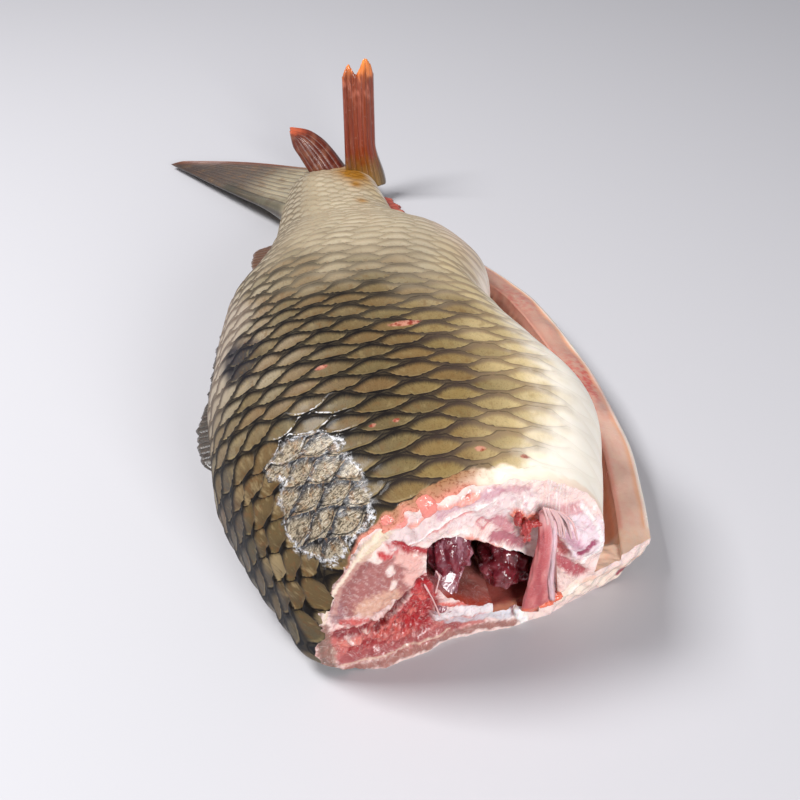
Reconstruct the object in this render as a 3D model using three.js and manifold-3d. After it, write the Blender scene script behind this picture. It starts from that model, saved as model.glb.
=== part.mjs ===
// Headless, gutted raw carp lying on its right flank: the carcass with its
// trimmed back and anal fins, the three parts of the splayed tail fin, and the
// three loose-hanging pieces that show at the cut end.
// Millimetres, +Z up, +Y from the cut end to the tail, +X from back to belly.
import * as THREE from "three";
import { mergeVertices } from "three/addons/utils/BufferGeometryUtils.js";
import Module from "manifold-3d";

const wasm = await Module();
wasm.setup();

// ---------------------------------------------------------------- sizes
// Body stations along the fish: y, back edge x, belly edge x, crest x,
// crest height, height of the back edge, height of the belly edge.
const STATIONS = [
  [-152, -51.7, 38.7, -6, 71, 12, 30],
  [-146, -61.5, 42.4, -7, 74, 15, 32],
  [-132, -68.5, 45.5, -9, 77, 20, 34],
  [-110, -77.6, 53.0, -11, 79, 25, 36],
  [-80, -84.5, 59.6, -12, 80.5, 29, 37],
  [-50, -84.3, 51.7, -12, 80, 30, 35],
  [-25, -80.5, 43.6, -12, 78.5, 30, 32],
  [0, -76.4, 39.0, -12, 75.5, 28, 28],
  [25, -71.3, 45.5, -11, 70, 26, 24],
  [50, -60.0, 51.0, -10, 62, 24, 18],
  [75, -50.5, 50.0, -8, 52, 22, 12],
  [95, -45.3, 40.0, -6, 44, 20, 10],
  [110, -40.8, 29.0, -5, 38, 18, 10],
  [130, -36.4, 24.5, -4, 33, 16, 10],
  [150, -33.0, 22.5, -4, 29, 14, 10],
  [172, -27.0, 21.6, -3, 24, 12, 10],
  [190, -20.0, 20.5, -1, 18, 9, 9],
];
const UPPER_POWER = 2.3; // roundness of the flank that lies up
const LOWER_POWER = 3.0; // squarer roundness of the flank that is lain on
const REST_FLAT = 1.4; // how far the lain-on flank is pressed flat

const SCALE_ROWS = 15; // rows of scales on one flank
const ROW_KEYS = [0, 4, 7, 9, 12, SCALE_ROWS]; // rows lie closer on the back
const ROW_SHARES = [0, 0.205, 0.374, 0.518, 0.737, 1]; // their share of the arc
const PITCH_FRONT = 9.9; // one scale to the next, at the cut
const PITCH_TAIL = 8.2; // the same at the tail root
const SCALE_RELIEF = 0.8; // how far a scale stands above its rim
const SCALE_LEAN = 0.12; // how far its high point is shifted, in pitches

const CUT_Y = -143; // middle of the cut face
const CUT_SLANT_X = 0.12;
const CUT_SLANT_Z = -0.05;
const VENT_Y = 74; // rear end of the belly slit

const WALL = 9; // thickness of the belly wall
const GUT_FRONT = { x: 4, z: 29.6, w: 24, h: 16, lean: -0.63 }; // mouth of the body cavity
const GUT_WAIST = { x: -2, z: 38, w: 38, h: 25, lean: 0 }; // its widest place
const GUT_REAR = { x: 12, z: 22, w: 12, h: 9, lean: 0 }; // its end at the vent
const GUT_SKEW = 0.32; // how much taller the leaning mouth is on its high side

// Puts the origin under the middle of the whole fish, on the resting surface.
const frameShift = new THREE.Vector3(4.445, -46.6844, 0);

// -------------------------------------------------------------- helpers
const clamp = (v, lo, hi) => Math.min(hi, Math.max(lo, v));
const lerp = (a, b, t) => a + (b - a) * t;
const step = (a, b, v) => {
  const t = clamp((v - a) / (b - a), 0, 1);
  return t * t * (3 - 2 * t);
};
const bell = (dx, dy) => Math.exp(-(dx * dx + dy * dy));

// Monotone cubic through [x, y] pairs, so no profile overshoots its stations.
function smoothCurve(xs, ys) {
  const n = xs.length;
  const d = [];
  const h = [];
  for (let i = 0; i < n - 1; i++) {
    h.push(xs[i + 1] - xs[i]);
    d.push((ys[i + 1] - ys[i]) / h[i]);
  }
  const m = [d[0]];
  for (let i = 1; i < n - 1; i++) {
    if (d[i - 1] * d[i] <= 0) m.push(0);
    else {
      const a = 2 * h[i] + h[i - 1];
      const b = h[i] + 2 * h[i - 1];
      m.push((a + b) / (a / d[i - 1] + b / d[i]));
    }
  }
  m.push(d[n - 2]);
  return (x) => {
    const q = clamp(x, xs[0], xs[n - 1]);
    let i = 0;
    while (i < n - 2 && q > xs[i + 1]) i++;
    const t = (q - xs[i]) / h[i];
    const t2 = t * t;
    const t3 = t2 * t;
    return (
      (2 * t3 - 3 * t2 + 1) * ys[i] +
      (t3 - 2 * t2 + t) * h[i] * m[i] +
      (3 * t2 - 2 * t3) * ys[i + 1] +
      (t3 - t2) * h[i] * m[i + 1]
    );
  };
}

const column = (k) => STATIONS.map((row) => row[k]);
const along = column(0);
const backX = smoothCurve(along, column(1));
const bellyX = smoothCurve(along, column(2));
const crestX = smoothCurve(along, column(3));
const crestZ = smoothCurve(along, column(4));
const backZ = smoothCurve(along, column(5));
const bellyZ = smoothCurve(along, column(6));
const Y_FRONT = along[0];
const Y_ROOT = along[along.length - 1];

// Point of the skin without scales. turn runs from 0 at the back edge to 1 at
// the belly edge; side is +1 for the upper flank and -1 for the lower one.
function skinPoint(turn, y, side) {
  const phi = Math.PI * (1 - turn);
  const c = Math.cos(phi);
  const s = Math.sin(phi);
  const power = side > 0 ? UPPER_POWER : LOWER_POWER;
  const a = Math.pow(Math.abs(c), 2 / power);
  const b = Math.pow(Math.abs(s), 2 / power);
  const xm = crestX(y);
  const rim = c < 0 ? backZ(y) : bellyZ(y);
  const x = c < 0 ? xm - (xm - backX(y)) * a : xm + (bellyX(y) - xm) * a;
  const z = side > 0 ? rim + (crestZ(y) - rim) * b : rim - (rim + REST_FLAT) * b;
  return new THREE.Vector3(x, y, Math.max(0, z));
}

// Scale rows are spaced by arc length, closer together on the back.
const rowShare = smoothCurve(ROW_KEYS, ROW_SHARES);

function arcTable(y, side) {
  const steps = 120;
  const table = [0];
  let before = skinPoint(0, y, side);
  for (let i = 1; i <= steps; i++) {
    const p = skinPoint(i / steps, y, side);
    table.push(table[i - 1] + p.distanceTo(before));
    before = p;
  }
  return (share) => {
    const goal = share * table[steps];
    let i = 1;
    while (i < steps && table[i] < goal) i++;
    const t = (goal - table[i - 1]) / (table[i] - table[i - 1] || 1);
    return (i - 1 + t) / steps;
  };
}

const pitchFall = (PITCH_FRONT - PITCH_TAIL) / (Y_ROOT - Y_FRONT);
const yOfPitch = (v) =>
  Y_FRONT + (PITCH_FRONT / pitchFall) * (1 - Math.exp(-pitchFall * v));
const pitchCount = Math.log(PITCH_FRONT / PITCH_TAIL) / pitchFall;

// ------------------------------------------------------- solids from grids
// Rings of equal length, joined in order, with a fan on each end.
function loft(rings) {
  const pts = rings.flat();
  const n = rings[0].length;
  const tris = [];
  for (let r = 0; r < rings.length - 1; r++)
    for (let i = 0; i < n; i++) {
      const a = r * n + i;
      const b = r * n + ((i + 1) % n);
      if ((r + i) % 2) tris.push([a, b, a + n], [b, b + n, a + n]);
      else tris.push([a, b, b + n], [a, b + n, a + n]);
    }
  for (const end of [0, rings.length - 1]) {
    const mid = new THREE.Vector3();
    for (const p of rings[end]) mid.addScaledVector(p, 1 / n);
    pts.push(mid);
    for (let i = 0; i < n; i++) {
      const a = end * n + i;
      const b = end * n + ((i + 1) % n);
      if (end === 0) tris.push([pts.length - 1, b, a]);
      else tris.push([pts.length - 1, a, b]);
    }
  }
  return closedSolid(pts, tris);
}

// Two facing sheets over the same grid, joined along their borders.
function slab(top, bottom, nu, nv) {
  const pts = [];
  for (const sheet of [top, bottom])
    for (let j = 0; j <= nv; j++)
      for (let i = 0; i <= nu; i++) pts.push(sheet(i / nu, j / nv));
  const w = nu + 1;
  const half = w * (nv + 1);
  const tris = [];
  for (let j = 0; j < nv; j++)
    for (let i = 0; i < nu; i++) {
      const a = j * w + i;
      tris.push([a, a + 1, a + w + 1], [a, a + w + 1, a + w]);
      const b = a + half;
      tris.push([b, b + w + 1, b + 1], [b, b + w, b + w + 1]);
    }
  const border = [];
  for (let i = 0; i < nu; i++) border.push([i + 1, i]);
  for (let j = 0; j < nv; j++) border.push([j * w, (j + 1) * w]);
  for (let i = 0; i < nu; i++) border.push([nv * w + i, nv * w + i + 1]);
  for (let j = 0; j < nv; j++) border.push([(j + 1) * w + nu, j * w + nu]);
  for (const [a, b] of border)
    tris.push([a, b, b + half], [a, b + half, a + half]);
  return closedSolid(pts, tris);
}

function closedSolid(pts, tris) {
  let volume = 0;
  for (const [a, b, c] of tris)
    volume += pts[a].dot(new THREE.Vector3().crossVectors(pts[b], pts[c]));
  const faces = volume < 0 ? tris.map(([a, b, c]) => [a, c, b]) : tris;
  return new wasm.Manifold(
    new wasm.Mesh({
      numProp: 3,
      vertProperties: new Float32Array(pts.flatMap((p) => [p.x, p.y, p.z])),
      triVerts: new Uint32Array(faces.flat()),
    }),
  );
}

// ----------------------------------------------------------------- carcass
// Scale relief fades on the belly, at the tail root and where the fish is
// lain on; row and pitch count half steps of the scale lattice.
function scaleLift(row, y, z, side) {
  const belly = 1 - step(SCALE_ROWS - 4, SCALE_ROWS - 1, row);
  const tail = 1 - 0.65 * step(60, 180, y);
  const rest = side > 0 ? 1 : step(2, 8, z);
  return SCALE_RELIEF * belly * tail * rest;
}

function bodyLoft() {
  const upperRows = SCALE_ROWS * 2;
  const lowerRows = 8;
  const rings = [];
  const halfSteps = Math.floor(pitchCount * 2);
  for (let j = 0; j <= halfSteps; j++) {
    const y = j === halfSteps ? Y_ROOT : yOfPitch(j / 2);
    const pitch = yOfPitch((j + 1) / 2) - yOfPitch(j / 2);
    const upper = arcTable(y, 1);
    const lower = arcTable(y, -1);
    const ring = [];
    const add = (row, share, side) => {
      const turn = (side > 0 ? upper : lower)(share);
      const p = skinPoint(turn, y, side);
      const near = skinPoint(clamp(turn + 0.01, 0, 1), y, side);
      const far = skinPoint(clamp(turn - 0.01, 0, 1), y, side);
      const out = new THREE.Vector3(near.z - far.z, 0, far.x - near.x);
      out.multiplyScalar((side > 0 ? 1 : -1) / (out.length() || 1));
      const whole = Number.isInteger(row);
      const high = whole ? ((row + j) % 2 === 0 ? 1 : -0.6) : 0.1;
      const ends = row === 0 || row === SCALE_ROWS ? 0 : 1;
      const lift = scaleLift(row, y, p.z, side) * high * ends;
      p.addScaledVector(out, lift);
      if (high === 1 && j > 0 && j < halfSteps) p.y -= SCALE_LEAN * pitch;
      p.z = Math.max(0, p.z);
      ring.push(p);
    };
    for (let k = 0; k < upperRows; k++) add(k / 2, rowShare(k / 2), 1);
    for (let k = lowerRows; k > 0; k--) {
      const row = Math.round((k / lowerRows) * SCALE_ROWS);
      add(row, rowShare(row), -1);
    }
    rings.push(ring);
  }
  return loft(rings);
}

// The cut face: a slanted plane with the swell of the back muscle, the torn
// and bloodied hollow beside the spine, fat lumps under the skin edge, and the
// lower wall, which was cut further back than the upper one.
function cutY(x, z) {
  let y = CUT_Y + CUT_SLANT_X * x + CUT_SLANT_Z * (z - 35);
  y -= 2.2 * bell((x + 38) / 13, (z - 34) / 20);
  y += 4.5 * bell((x + 24) / 11, (z - 14) / 10);
  y += 3.0 * bell((x - 22) / 10, (z - 34) / 14);
  y += 4.0 * step(-12, 14, x) * (1 - step(20, 34, x)) * (1 - step(14, 26, z));
  const out = Math.max(0, x - 32);
  y += out * (0.15 + 0.0045 * out) * (1 - step(22, 32, z));
  const under = 8.5 * step(14, 40, x) + 5.5 * bell((x + 7) / 11, 0) - 3.5 * step(-52, -30, x);
  y += under * clamp(1 - z / 14, 0, 1);
  y -= 2.4 * step(52, 60, z) * bell((x + 26) / 9, 0) * (0.6 + 0.4 * Math.sin(x * 0.75));
  y += 0.7 * Math.sin(x * 0.31 + z * 0.17) * Math.sin(z * 0.29 - x * 0.11 + 1.3);
  y += 0.45 * Math.sin(x * 0.83 + 0.6) * Math.sin(z * 0.71 + 0.2);
  return y;
}

function cutBlock() {
  const x = (u) => lerp(-96, 104, u);
  const z = (v) => lerp(-4, 92, v);
  return slab(
    (u, v) => new THREE.Vector3(x(u), cutY(x(u), z(v)), z(v)),
    (u, v) => new THREE.Vector3(x(u), -190, z(v)),
    32,
    20,
  );
}

function gutLoft() {
  const rings = [];
  const keys = [
    [-175, GUT_FRONT],
    [-140, GUT_FRONT],
    [-118, { x: 3, z: 34, w: 31, h: 20, lean: -0.2 }],
    [-85, GUT_WAIST],
    [-40, GUT_WAIST],
    [10, { x: -2, z: 34, w: 28, h: 21, lean: 0 }],
    [50, { x: 8, z: 26, w: 20, h: 14, lean: 0 }],
    [VENT_Y, GUT_REAR],
  ];
  const ys = keys.map((k) => k[0]);
  const f = ["x", "z", "w", "h", "lean"].map((name) =>
    smoothCurve(ys, keys.map((k) => k[1][name])),
  );
  for (const y of [-175, -140, -129, -118, -102, -85, -62, -40, -15, 10, 30, 50, 64, VENT_Y]) {
    const [cx, cz, w, h, lean] = f.map((g) => g(y));
    const ring = [];
    for (let i = 0; i < 20; i++) {
      const a = (i / 20) * Math.PI * 2;
      const c = Math.cos(a);
      const s = Math.sin(a);
      const dx = w * Math.sign(c) * Math.pow(Math.abs(c), 0.85);
      const dz = h * Math.sign(s) * Math.pow(Math.abs(s), 0.85);
      const tall = 1 + GUT_SKEW * lean * c;
      ring.push(new THREE.Vector3(cx + dx, y, cz + lean * dx + tall * dz));
    }
    rings.push(ring);
  }
  return loft(rings);
}

// The lower belly wall lies out past the upper one and ends in a raised rim.
const rimX = smoothCurve(
  [-152, -123, -99, -63, -26, 3, 40, 56, 84],
  [62, 69, 74.5, 80, 80.5, 78, 71.5, 65, 49],
);
const rimZ = smoothCurve([-152, -110, -60, 0, 50, 84], [16, 17, 17, 17, 18, 20]);

// Belly wall section: u runs from under the body to the rim.
function wallSheet(inner) {
  return (u, v) => {
    const y = lerp(-158, 80, v);
    const xr = rimX(y);
    const zr = rimZ(y);
    const flat = xr - 22;
    const t = clamp((u - 0.4) / 0.6, 0, 1) * (Math.PI / 2);
    const x0 = lerp(4, flat, clamp(u / 0.4, 0, 1));
    const rx = inner ? 22 - WALL : 22;
    const rz = inner ? zr - WALL + 1.5 : zr;
    const z0 = inner ? WALL : 0;
    const x = u < 0.4 ? x0 : flat + rx * Math.sin(t);
    const z = z0 + (u < 0.4 ? 0 : rz * (1 - Math.cos(t)));
    return new THREE.Vector3(x, y, z);
  };
}

// The slit that opens the belly: thin between the two walls, wider where it
// runs into the body cavity.
function slitLoft() {
  const rings = [];
  for (const y of [-175, -152, -130, -105, -80, -50, -20, 10, 35, 55, 66, VENT_Y]) {
    const shut = step(45, VENT_Y + 4, y);
    const low = WALL - 1;
    const high = lerp(15.5, low + 3, shut);
    const inner = lerp(6, 16, shut);
    const lip = lerp(44, 36, shut);
    rings.push([
      new THREE.Vector3(inner, y, low),
      new THREE.Vector3(120, y, low),
      new THREE.Vector3(120, y, high + 3),
      new THREE.Vector3(lip, y, high),
      new THREE.Vector3(inner, y, lerp(high + 8, high + 1, shut)),
    ]);
  }
  return loft(rings);
}

// The lower wall's front, which turns up across the opening and closes the
// slit towards the cut end.
function frontLip() {
  const rings = [];
  for (const [y, drop, back] of [[-175, 0, 0], [-122.5, 0, 0], [-119.5, 1.5, 1], [-117.6, 5, 3]])
    rings.push(
      [
        [24 + back, 2], [50, 2], [58, 4.5], [64, 8.5], [66 - back, 12 - 0.4 * drop],
        [66 - back, 16.5 - drop], [56, 16.5 - drop], [44, 18 - drop], [24 + back, 22 - drop],
      ].map(([x, z]) => new THREE.Vector3(x, y, z)),
    );
  return loft(rings);
}

// -------------------------------------------------------------------- fins
// A thin plate over a grid of middle points, thickest at its root. grow makes
// a fatter copy, which is cut from the neighbours to leave a gap.
function finPlate(mid, normal, thick, nu, nv, grow = 0) {
  const reach = (t) => lerp(-0.02 * grow, 1 + 0.02 * grow, t);
  const face = (sign) => (u, v) =>
    mid(reach(u), reach(v)).addScaledVector(
      normal,
      sign * (thick(clamp(reach(u), 0, 1), v) / 2 + 0.5 * grow),
    );
  return slab(face(1), face(-1), nu, nv);
}

// Upper tail lobe, lying out flat towards the back side.
function flatLobe(grow) {
  const low = [[-28, 142], [-40, 165], [-52, 184], [-63, 202], [-75, 222], [-87, 242]];
  const high = [[8, 178], [-4, 200], [-17, 211], [-36, 224], [-54, 234], [-82, 244]];
  const pick = (list, k) => smoothCurve(list.map((_, i) => i / 5), list.map((p) => p[k]));
  const lx = pick(low, 0);
  const ly = pick(low, 1);
  const hx = pick(high, 0);
  const hy = pick(high, 1);
  const z = (u, v) => lerp(12.5, 3.2, u) + 1.2 * Math.sin(v * 9) * (1 - u) * 0.5;
  return finPlate(
    (u, v) => new THREE.Vector3(lerp(lx(u), hx(u), v), lerp(ly(u), hy(u), v), z(u, v)),
    new THREE.Vector3(0, 0, 1),
    (u, v) => lerp(9, 1.8, Math.pow(u, 0.6)) * (0.75 + 0.25 * Math.sin(v * Math.PI)),
    12,
    7,
    grow,
  );
}

// Lower tail lobe, folded so that it stands straight up, with a split tip.
function standingLobe(grow) {
  const height = smoothCurve([0, 0.22, 0.42, 0.7, 0.88, 1], [70, 76, 71, 80, 76.5, 70]);
  return finPlate(
    (u, v) => {
      const z = lerp(8, height(v), u);
      const left = 6;
      const right = lerp(28.5, 23, step(0, 0.4, u));
      return new THREE.Vector3(lerp(left, right, v), 186 + 4 * u + 1.6 * Math.sin(v * 7), z);
    },
    new THREE.Vector3(0, 1, 0),
    (u) => lerp(9, 2.0, Math.pow(u, 0.7)),
    14,
    10,
    grow,
  );
}

// Middle rays of the tail, crumpled up between the two lobes and curled over.
function middleRays() {
  const edge = (points) => {
    const at = points.map((_, i) => i / (points.length - 1));
    return [0, 1].map((k) => smoothCurve(at, points.map((p) => p[k])));
  };
  const inner = edge([[-11, 11], [-14.6, 17.3], [-17.7, 23], [-20.7, 28.7], [-21.5, 33], [-21.9, 36.5]]);
  const outer = edge([[9, 13], [5.6, 18.1], [1.6, 24], [-4.1, 30.7], [-12.1, 35.9], [-21.4, 37.7]]);
  return finPlate(
    (u, v) =>
      new THREE.Vector3(
        lerp(inner[0](u), outer[0](u), v),
        195 + 7 * u - 3 * Math.sin(v * Math.PI) + 2 * v,
        lerp(inner[1](u), outer[1](u), v),
      ),
    new THREE.Vector3(0, 1, 0.2).normalize(),
    (u) => lerp(6, 1.8, u),
    8,
    6,
  );
}

// The tail root: where the scaled body thins into the fin rays.
function tailRoot(grow = 0) {
  const rings = [];
  for (const [y, back, belly, deep] of [
    [166, -25, 20, 20],
    [186, -19, 19.5, 15],
    [198, -16, 18, 10],
    [206 + grow, -12, 12, 6],
  ]) {
    const x0 = back - grow;
    const x1 = belly + grow;
    const h = deep + 2 * grow;
    const r = [];
    for (let i = 0; i < 16; i++) {
      const a = (i / 16) * Math.PI * 2;
      r.push(
        new THREE.Vector3(
          (x0 + x1) / 2 + ((x1 - x0) / 2) * Math.cos(a),
          y,
          10 + (h / 2) * Math.sin(a),
        ),
      );
    }
    rings.push(r);
  }
  return loft(rings);
}

// The dorsal fin was cut down to a low ragged strip along the back.
const dorsalHeight = smoothCurve(
  [-72, -62, -46, -22, 30, 66, 90, 106, 117],
  [-3, 4, 4.5, 2.5, 3, 3, 8, 10, -3],
);
function dorsalStrip() {
  const y = (v) => lerp(-72, 117, v);
  const sheet = (sign) => (u, v) => {
    const yy = y(v);
    const rag = 0.8 * Math.sin(yy * 0.55) * u;
    return new THREE.Vector3(
      backX(yy) + lerp(9, -dorsalHeight(yy) - rag, u),
      yy,
      backZ(yy) + sign * lerp(3.2, 0.9, u),
    );
  };
  return slab(sheet(1), sheet(-1), 3, 40);
}

const analHeight = smoothCurve([122, 132, 146, 156, 164], [2, 7, 6.5, 4, -3]);
function analStub() {
  const y = (v) => lerp(122, 164, v);
  const sheet = (sign) => (u, v) => {
    const yy = y(v);
    return new THREE.Vector3(
      bellyX(yy) + lerp(-9, analHeight(yy) + 0.7 * Math.sin(yy * 0.9), u),
      yy + 3 * u,
      12 + sign * lerp(3.2, 1.0, u),
    );
  };
  return slab(sheet(1), sheet(-1), 3, 14);
}

// The space that the tail root takes, with the gap that the fins keep from it.
function rootRoom() {
  const gap = 0.8;
  const rings = [];
  for (let y = 112; y <= Y_ROOT + gap; y += 6) {
    const r = [];
    const n = 20;
    for (const side of [1, -1])
      for (let i = 0; i < n; i++) {
        const turn = side > 0 ? i / n : 1 - i / n;
        const p = skinPoint(turn, y, side);
        const mid = new THREE.Vector3(crestX(y), y, (crestZ(y) + backZ(y)) / 3);
        const out = p.clone().sub(mid);
        p.addScaledVector(out, (gap * 1.25) / out.length());
        r.push(p);
      }
    rings.push(r);
  }
  return loft(rings).add(tailRoot(gap));
}

// The largest piece that is left, so that no scrap stays beside it.
function mainPiece(solid) {
  return solid.decompose().sort((a, b) => b.volume() - a.volume())[0];
}

function carcass() {
  const wall = slab(wallSheet(1), wallSheet(0), 14, 34);
  let body = bodyLoft().subtract(slitLoft());
  body = body.add(wall).add(frontLip()).subtract(gutLoft()).subtract(cutBlock());
  for (const grown of [tailRoot(), dorsalStrip(), analStub()])
    body = body.add(grown);
  return body;
}

// ------------------------------------------- pieces that hang in the opening
// A torn strip of muscle hanging down in front of the opening.
function hangingStrip() {
  const z = smoothCurve([0, 0.3, 0.6, 0.85, 1], [56, 44, 29, 16, 9.5]);
  const x = smoothCurve([0, 0.3, 0.6, 0.85, 1], [19.5, 20.5, 21, 22, 23]);
  const y = smoothCurve([0, 0.3, 0.6, 0.85, 1], [-146.4, -145.6, -143.4, -140.6, -139.4]);
  const half = smoothCurve([0, 0.12, 0.5, 0.8, 1], [3.5, 4.2, 4.2, 6, 8]);
  const rings = [];
  for (let j = 0; j <= 14; j++) {
    const t = j / 14;
    const r = [];
    const grip = t === 0 || t === 1 ? 0.6 : 1;
    for (let i = 0; i < 14; i++) {
      const a = (i / 14) * Math.PI * 2;
      r.push(
        new THREE.Vector3(
          x(t) + half(t) * grip * Math.cos(a),
          y(t) + 2.4 * grip * Math.sin(a),
          z(t) + 1.2 * Math.cos(a) * t,
        ),
      );
    }
    rings.push(r);
  }
  return loft(rings);
}

// A soft lobe of organ: a lumpy ball pulled to three half-widths.
function organLobe(cx, cy, cz, rx, ry, rz, lump) {
  const geometry = new THREE.SphereGeometry(1, 18, 12);
  geometry.deleteAttribute("uv");
  geometry.deleteAttribute("normal");
  const merged = mergeVertices(geometry, 1e-5);
  const p = merged.attributes.position;
  const pts = [];
  for (let i = 0; i < p.count; i++) {
    const v = new THREE.Vector3().fromBufferAttribute(p, i);
    const k =
      1 + 0.1 * Math.sin(v.x * 3.1 + lump) * Math.sin(v.y * 2.7 + lump * 2) * Math.cos(v.z * 2.9);
    pts.push(new THREE.Vector3(cx + rx * v.x * k, cy + ry * v.y * k, cz + rz * v.z * k));
  }
  const tris = [];
  for (let i = 0; i < merged.index.count; i += 3) {
    const t = [0, 1, 2].map((k) => merged.index.getX(i + k));
    if (new Set(t).size === 3) tris.push(t);
  }
  return closedSolid(pts, tris);
}

// ------------------------------------------------------------------- group
function meshOf(name, solid, colour, roughness) {
  const m = solid.getMesh();
  const geometry = new THREE.BufferGeometry();
  const positions = [];
  for (let i = 0; i < m.vertProperties.length; i += m.numProp)
    positions.push(m.vertProperties[i], m.vertProperties[i + 1], m.vertProperties[i + 2]);
  geometry.setAttribute("position", new THREE.Float32BufferAttribute(positions, 3));
  geometry.setIndex(Array.from(m.triVerts));
  geometry.computeVertexNormals();
  const mesh = new THREE.Mesh(
    geometry,
    new THREE.MeshStandardMaterial({ color: colour, roughness, metalness: 0 }),
  );
  mesh.name = name;
  return mesh;
}

const group = new THREE.Group();
group.add(meshOf("carcass", carcass(), 0x97845a, 0.35));
const room = rootRoom();
const flat = flatLobe();
const standing = standingLobe().subtract(flatLobe(1));
const rays = middleRays().subtract(flatLobe(1)).subtract(standingLobe(1));
group.add(meshOf("tail_flat_lobe", mainPiece(flat.subtract(room)), 0x5d5248, 0.4));
group.add(meshOf("tail_standing_lobe", mainPiece(standing.subtract(room)), 0xb24d28, 0.35));
group.add(meshOf("tail_middle_rays", mainPiece(rays.subtract(room)), 0xa8432c, 0.3));
group.add(meshOf("hanging_strip", hangingStrip(), 0xc9757a, 0.3));
group.add(meshOf("organ_lobe_near", organLobe(-7.5, -129, 34, 7, 8.5, 11.5, 0.4), 0x6e3a46, 0.2));
group.add(meshOf("organ_lobe_far", organLobe(12, -126, 22, 9.5, 11, 8.5, 1.9), 0x6a2c35, 0.2));
group.position.copy(frameShift);

export default group;
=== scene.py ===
"""Raw headless, gutted carp on its right flank, with cut end, open belly, trimmed fins and folded tail."""

import math

import bmesh
import bpy
import numpy as np
from bpy.props import FloatProperty, FloatVectorProperty, PointerProperty
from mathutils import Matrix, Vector


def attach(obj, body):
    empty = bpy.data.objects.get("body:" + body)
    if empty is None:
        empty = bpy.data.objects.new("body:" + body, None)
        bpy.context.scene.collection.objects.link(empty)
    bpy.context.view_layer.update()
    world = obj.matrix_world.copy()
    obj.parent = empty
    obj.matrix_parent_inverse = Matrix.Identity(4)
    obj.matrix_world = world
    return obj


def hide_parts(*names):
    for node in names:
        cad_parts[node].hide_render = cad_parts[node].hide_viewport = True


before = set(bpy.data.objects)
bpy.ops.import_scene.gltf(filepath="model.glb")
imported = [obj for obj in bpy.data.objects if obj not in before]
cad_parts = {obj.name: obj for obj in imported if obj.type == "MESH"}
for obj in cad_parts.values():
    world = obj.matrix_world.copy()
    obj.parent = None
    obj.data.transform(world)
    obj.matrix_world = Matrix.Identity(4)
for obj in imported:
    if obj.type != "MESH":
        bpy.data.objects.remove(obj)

bl_info = {
    "name": "Raw Carp",
    "version": (1, 0, 0),
    "blender": (4, 5, 0),
    "location": "View3D > Sidebar > Carp",
    "description": "Builds a headless, gutted raw carp with real scale relief and a wet cut end",
    "category": "Object",
}

# --------------------------------------------------------------------------- driving sizes, fish millimetres
# Fish axes: +Y from the cut end to the tail, +X from back to belly, +Z up; the shift centres the whole.
MM = 0.001
FISH_SHIFT = np.array([4.445, -46.6844, 0.0])
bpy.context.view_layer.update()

# Body stations: y, back edge x, belly edge x, crest x, crest height, heights of the back and belly edges.
STATIONS = np.array([
    [-152, -51.7, 38.7, -6, 71, 12, 30],
    [-146, -61.5, 42.4, -7, 74, 15, 32],
    [-132, -68.5, 45.5, -9, 77, 20, 34],
    [-110, -77.6, 53.0, -11, 79, 25, 36],
    [-80, -84.5, 59.6, -12, 80.5, 29, 37],
    [-50, -84.3, 51.7, -12, 80, 30, 35],
    [-25, -80.5, 43.6, -12, 78.5, 30, 32],
    [0, -76.4, 39.0, -12, 75.5, 28, 28],
    [25, -71.3, 45.5, -11, 70, 26, 24],
    [50, -60.0, 51.0, -10, 62, 24, 18],
    [75, -50.5, 50.0, -8, 52, 22, 12],
    [95, -45.3, 40.0, -6, 44, 20, 10],
    [110, -40.8, 29.0, -5, 38, 18, 10],
    [130, -36.4, 24.5, -4, 33, 16, 10],
    [150, -33.0, 22.5, -4, 29, 14, 10],
    [172, -27.0, 21.6, -3, 24, 12, 10],
    [190, -20.0, 20.5, -1, 18, 9, 9],
])
UPPER_POWER = 2.3
LOWER_POWER = 3.0
REST_FLAT = 1.4

SCALE_ROWS = 15
PITCH_FRONT = 9.9
PITCH_TAIL = 8.2
Y_FRONT = STATIONS[0, 0]
Y_ROOT = STATIONS[-1, 0]

CUT_Y = -143
CUT_SLANT_X = 0.12
CUT_SLANT_Z = -0.05
VENT_Y = 74
WALL = 9
RIM_WIDE = 12
WALL_TURN = 22
WALL_FLAT_SHARE = 0.4
WALL_START = 4
WALL_ENDS = (-158, 80)

# The stage, in metres: half the table's side, and each light's place and side.
TABLE_REACH = 3.0
KEY_PLACE = (-0.55, 0.1, 0.9)
KEY_SIDE = 0.36
FRONT_PLACE = (0.3, -1.3, 0.6)
FRONT_SIDE = 0.5
ROOM_LIGHT = 0.28

BODY_COLUMNS_UP = 190
BODY_COLUMNS_DOWN = 36
RINGS_A_PITCH = 11


# --------------------------------------------------------------------------- plain maths
def lerp(a, b, t):
    return a + (b - a) * t


def step(a, b, v):
    t = np.clip((v - a) / (b - a), 0, 1)
    return t * t * (3 - 2 * t)


def bell(dx, dy=0.0):
    return np.exp(-(dx * dx + dy * dy))


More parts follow.
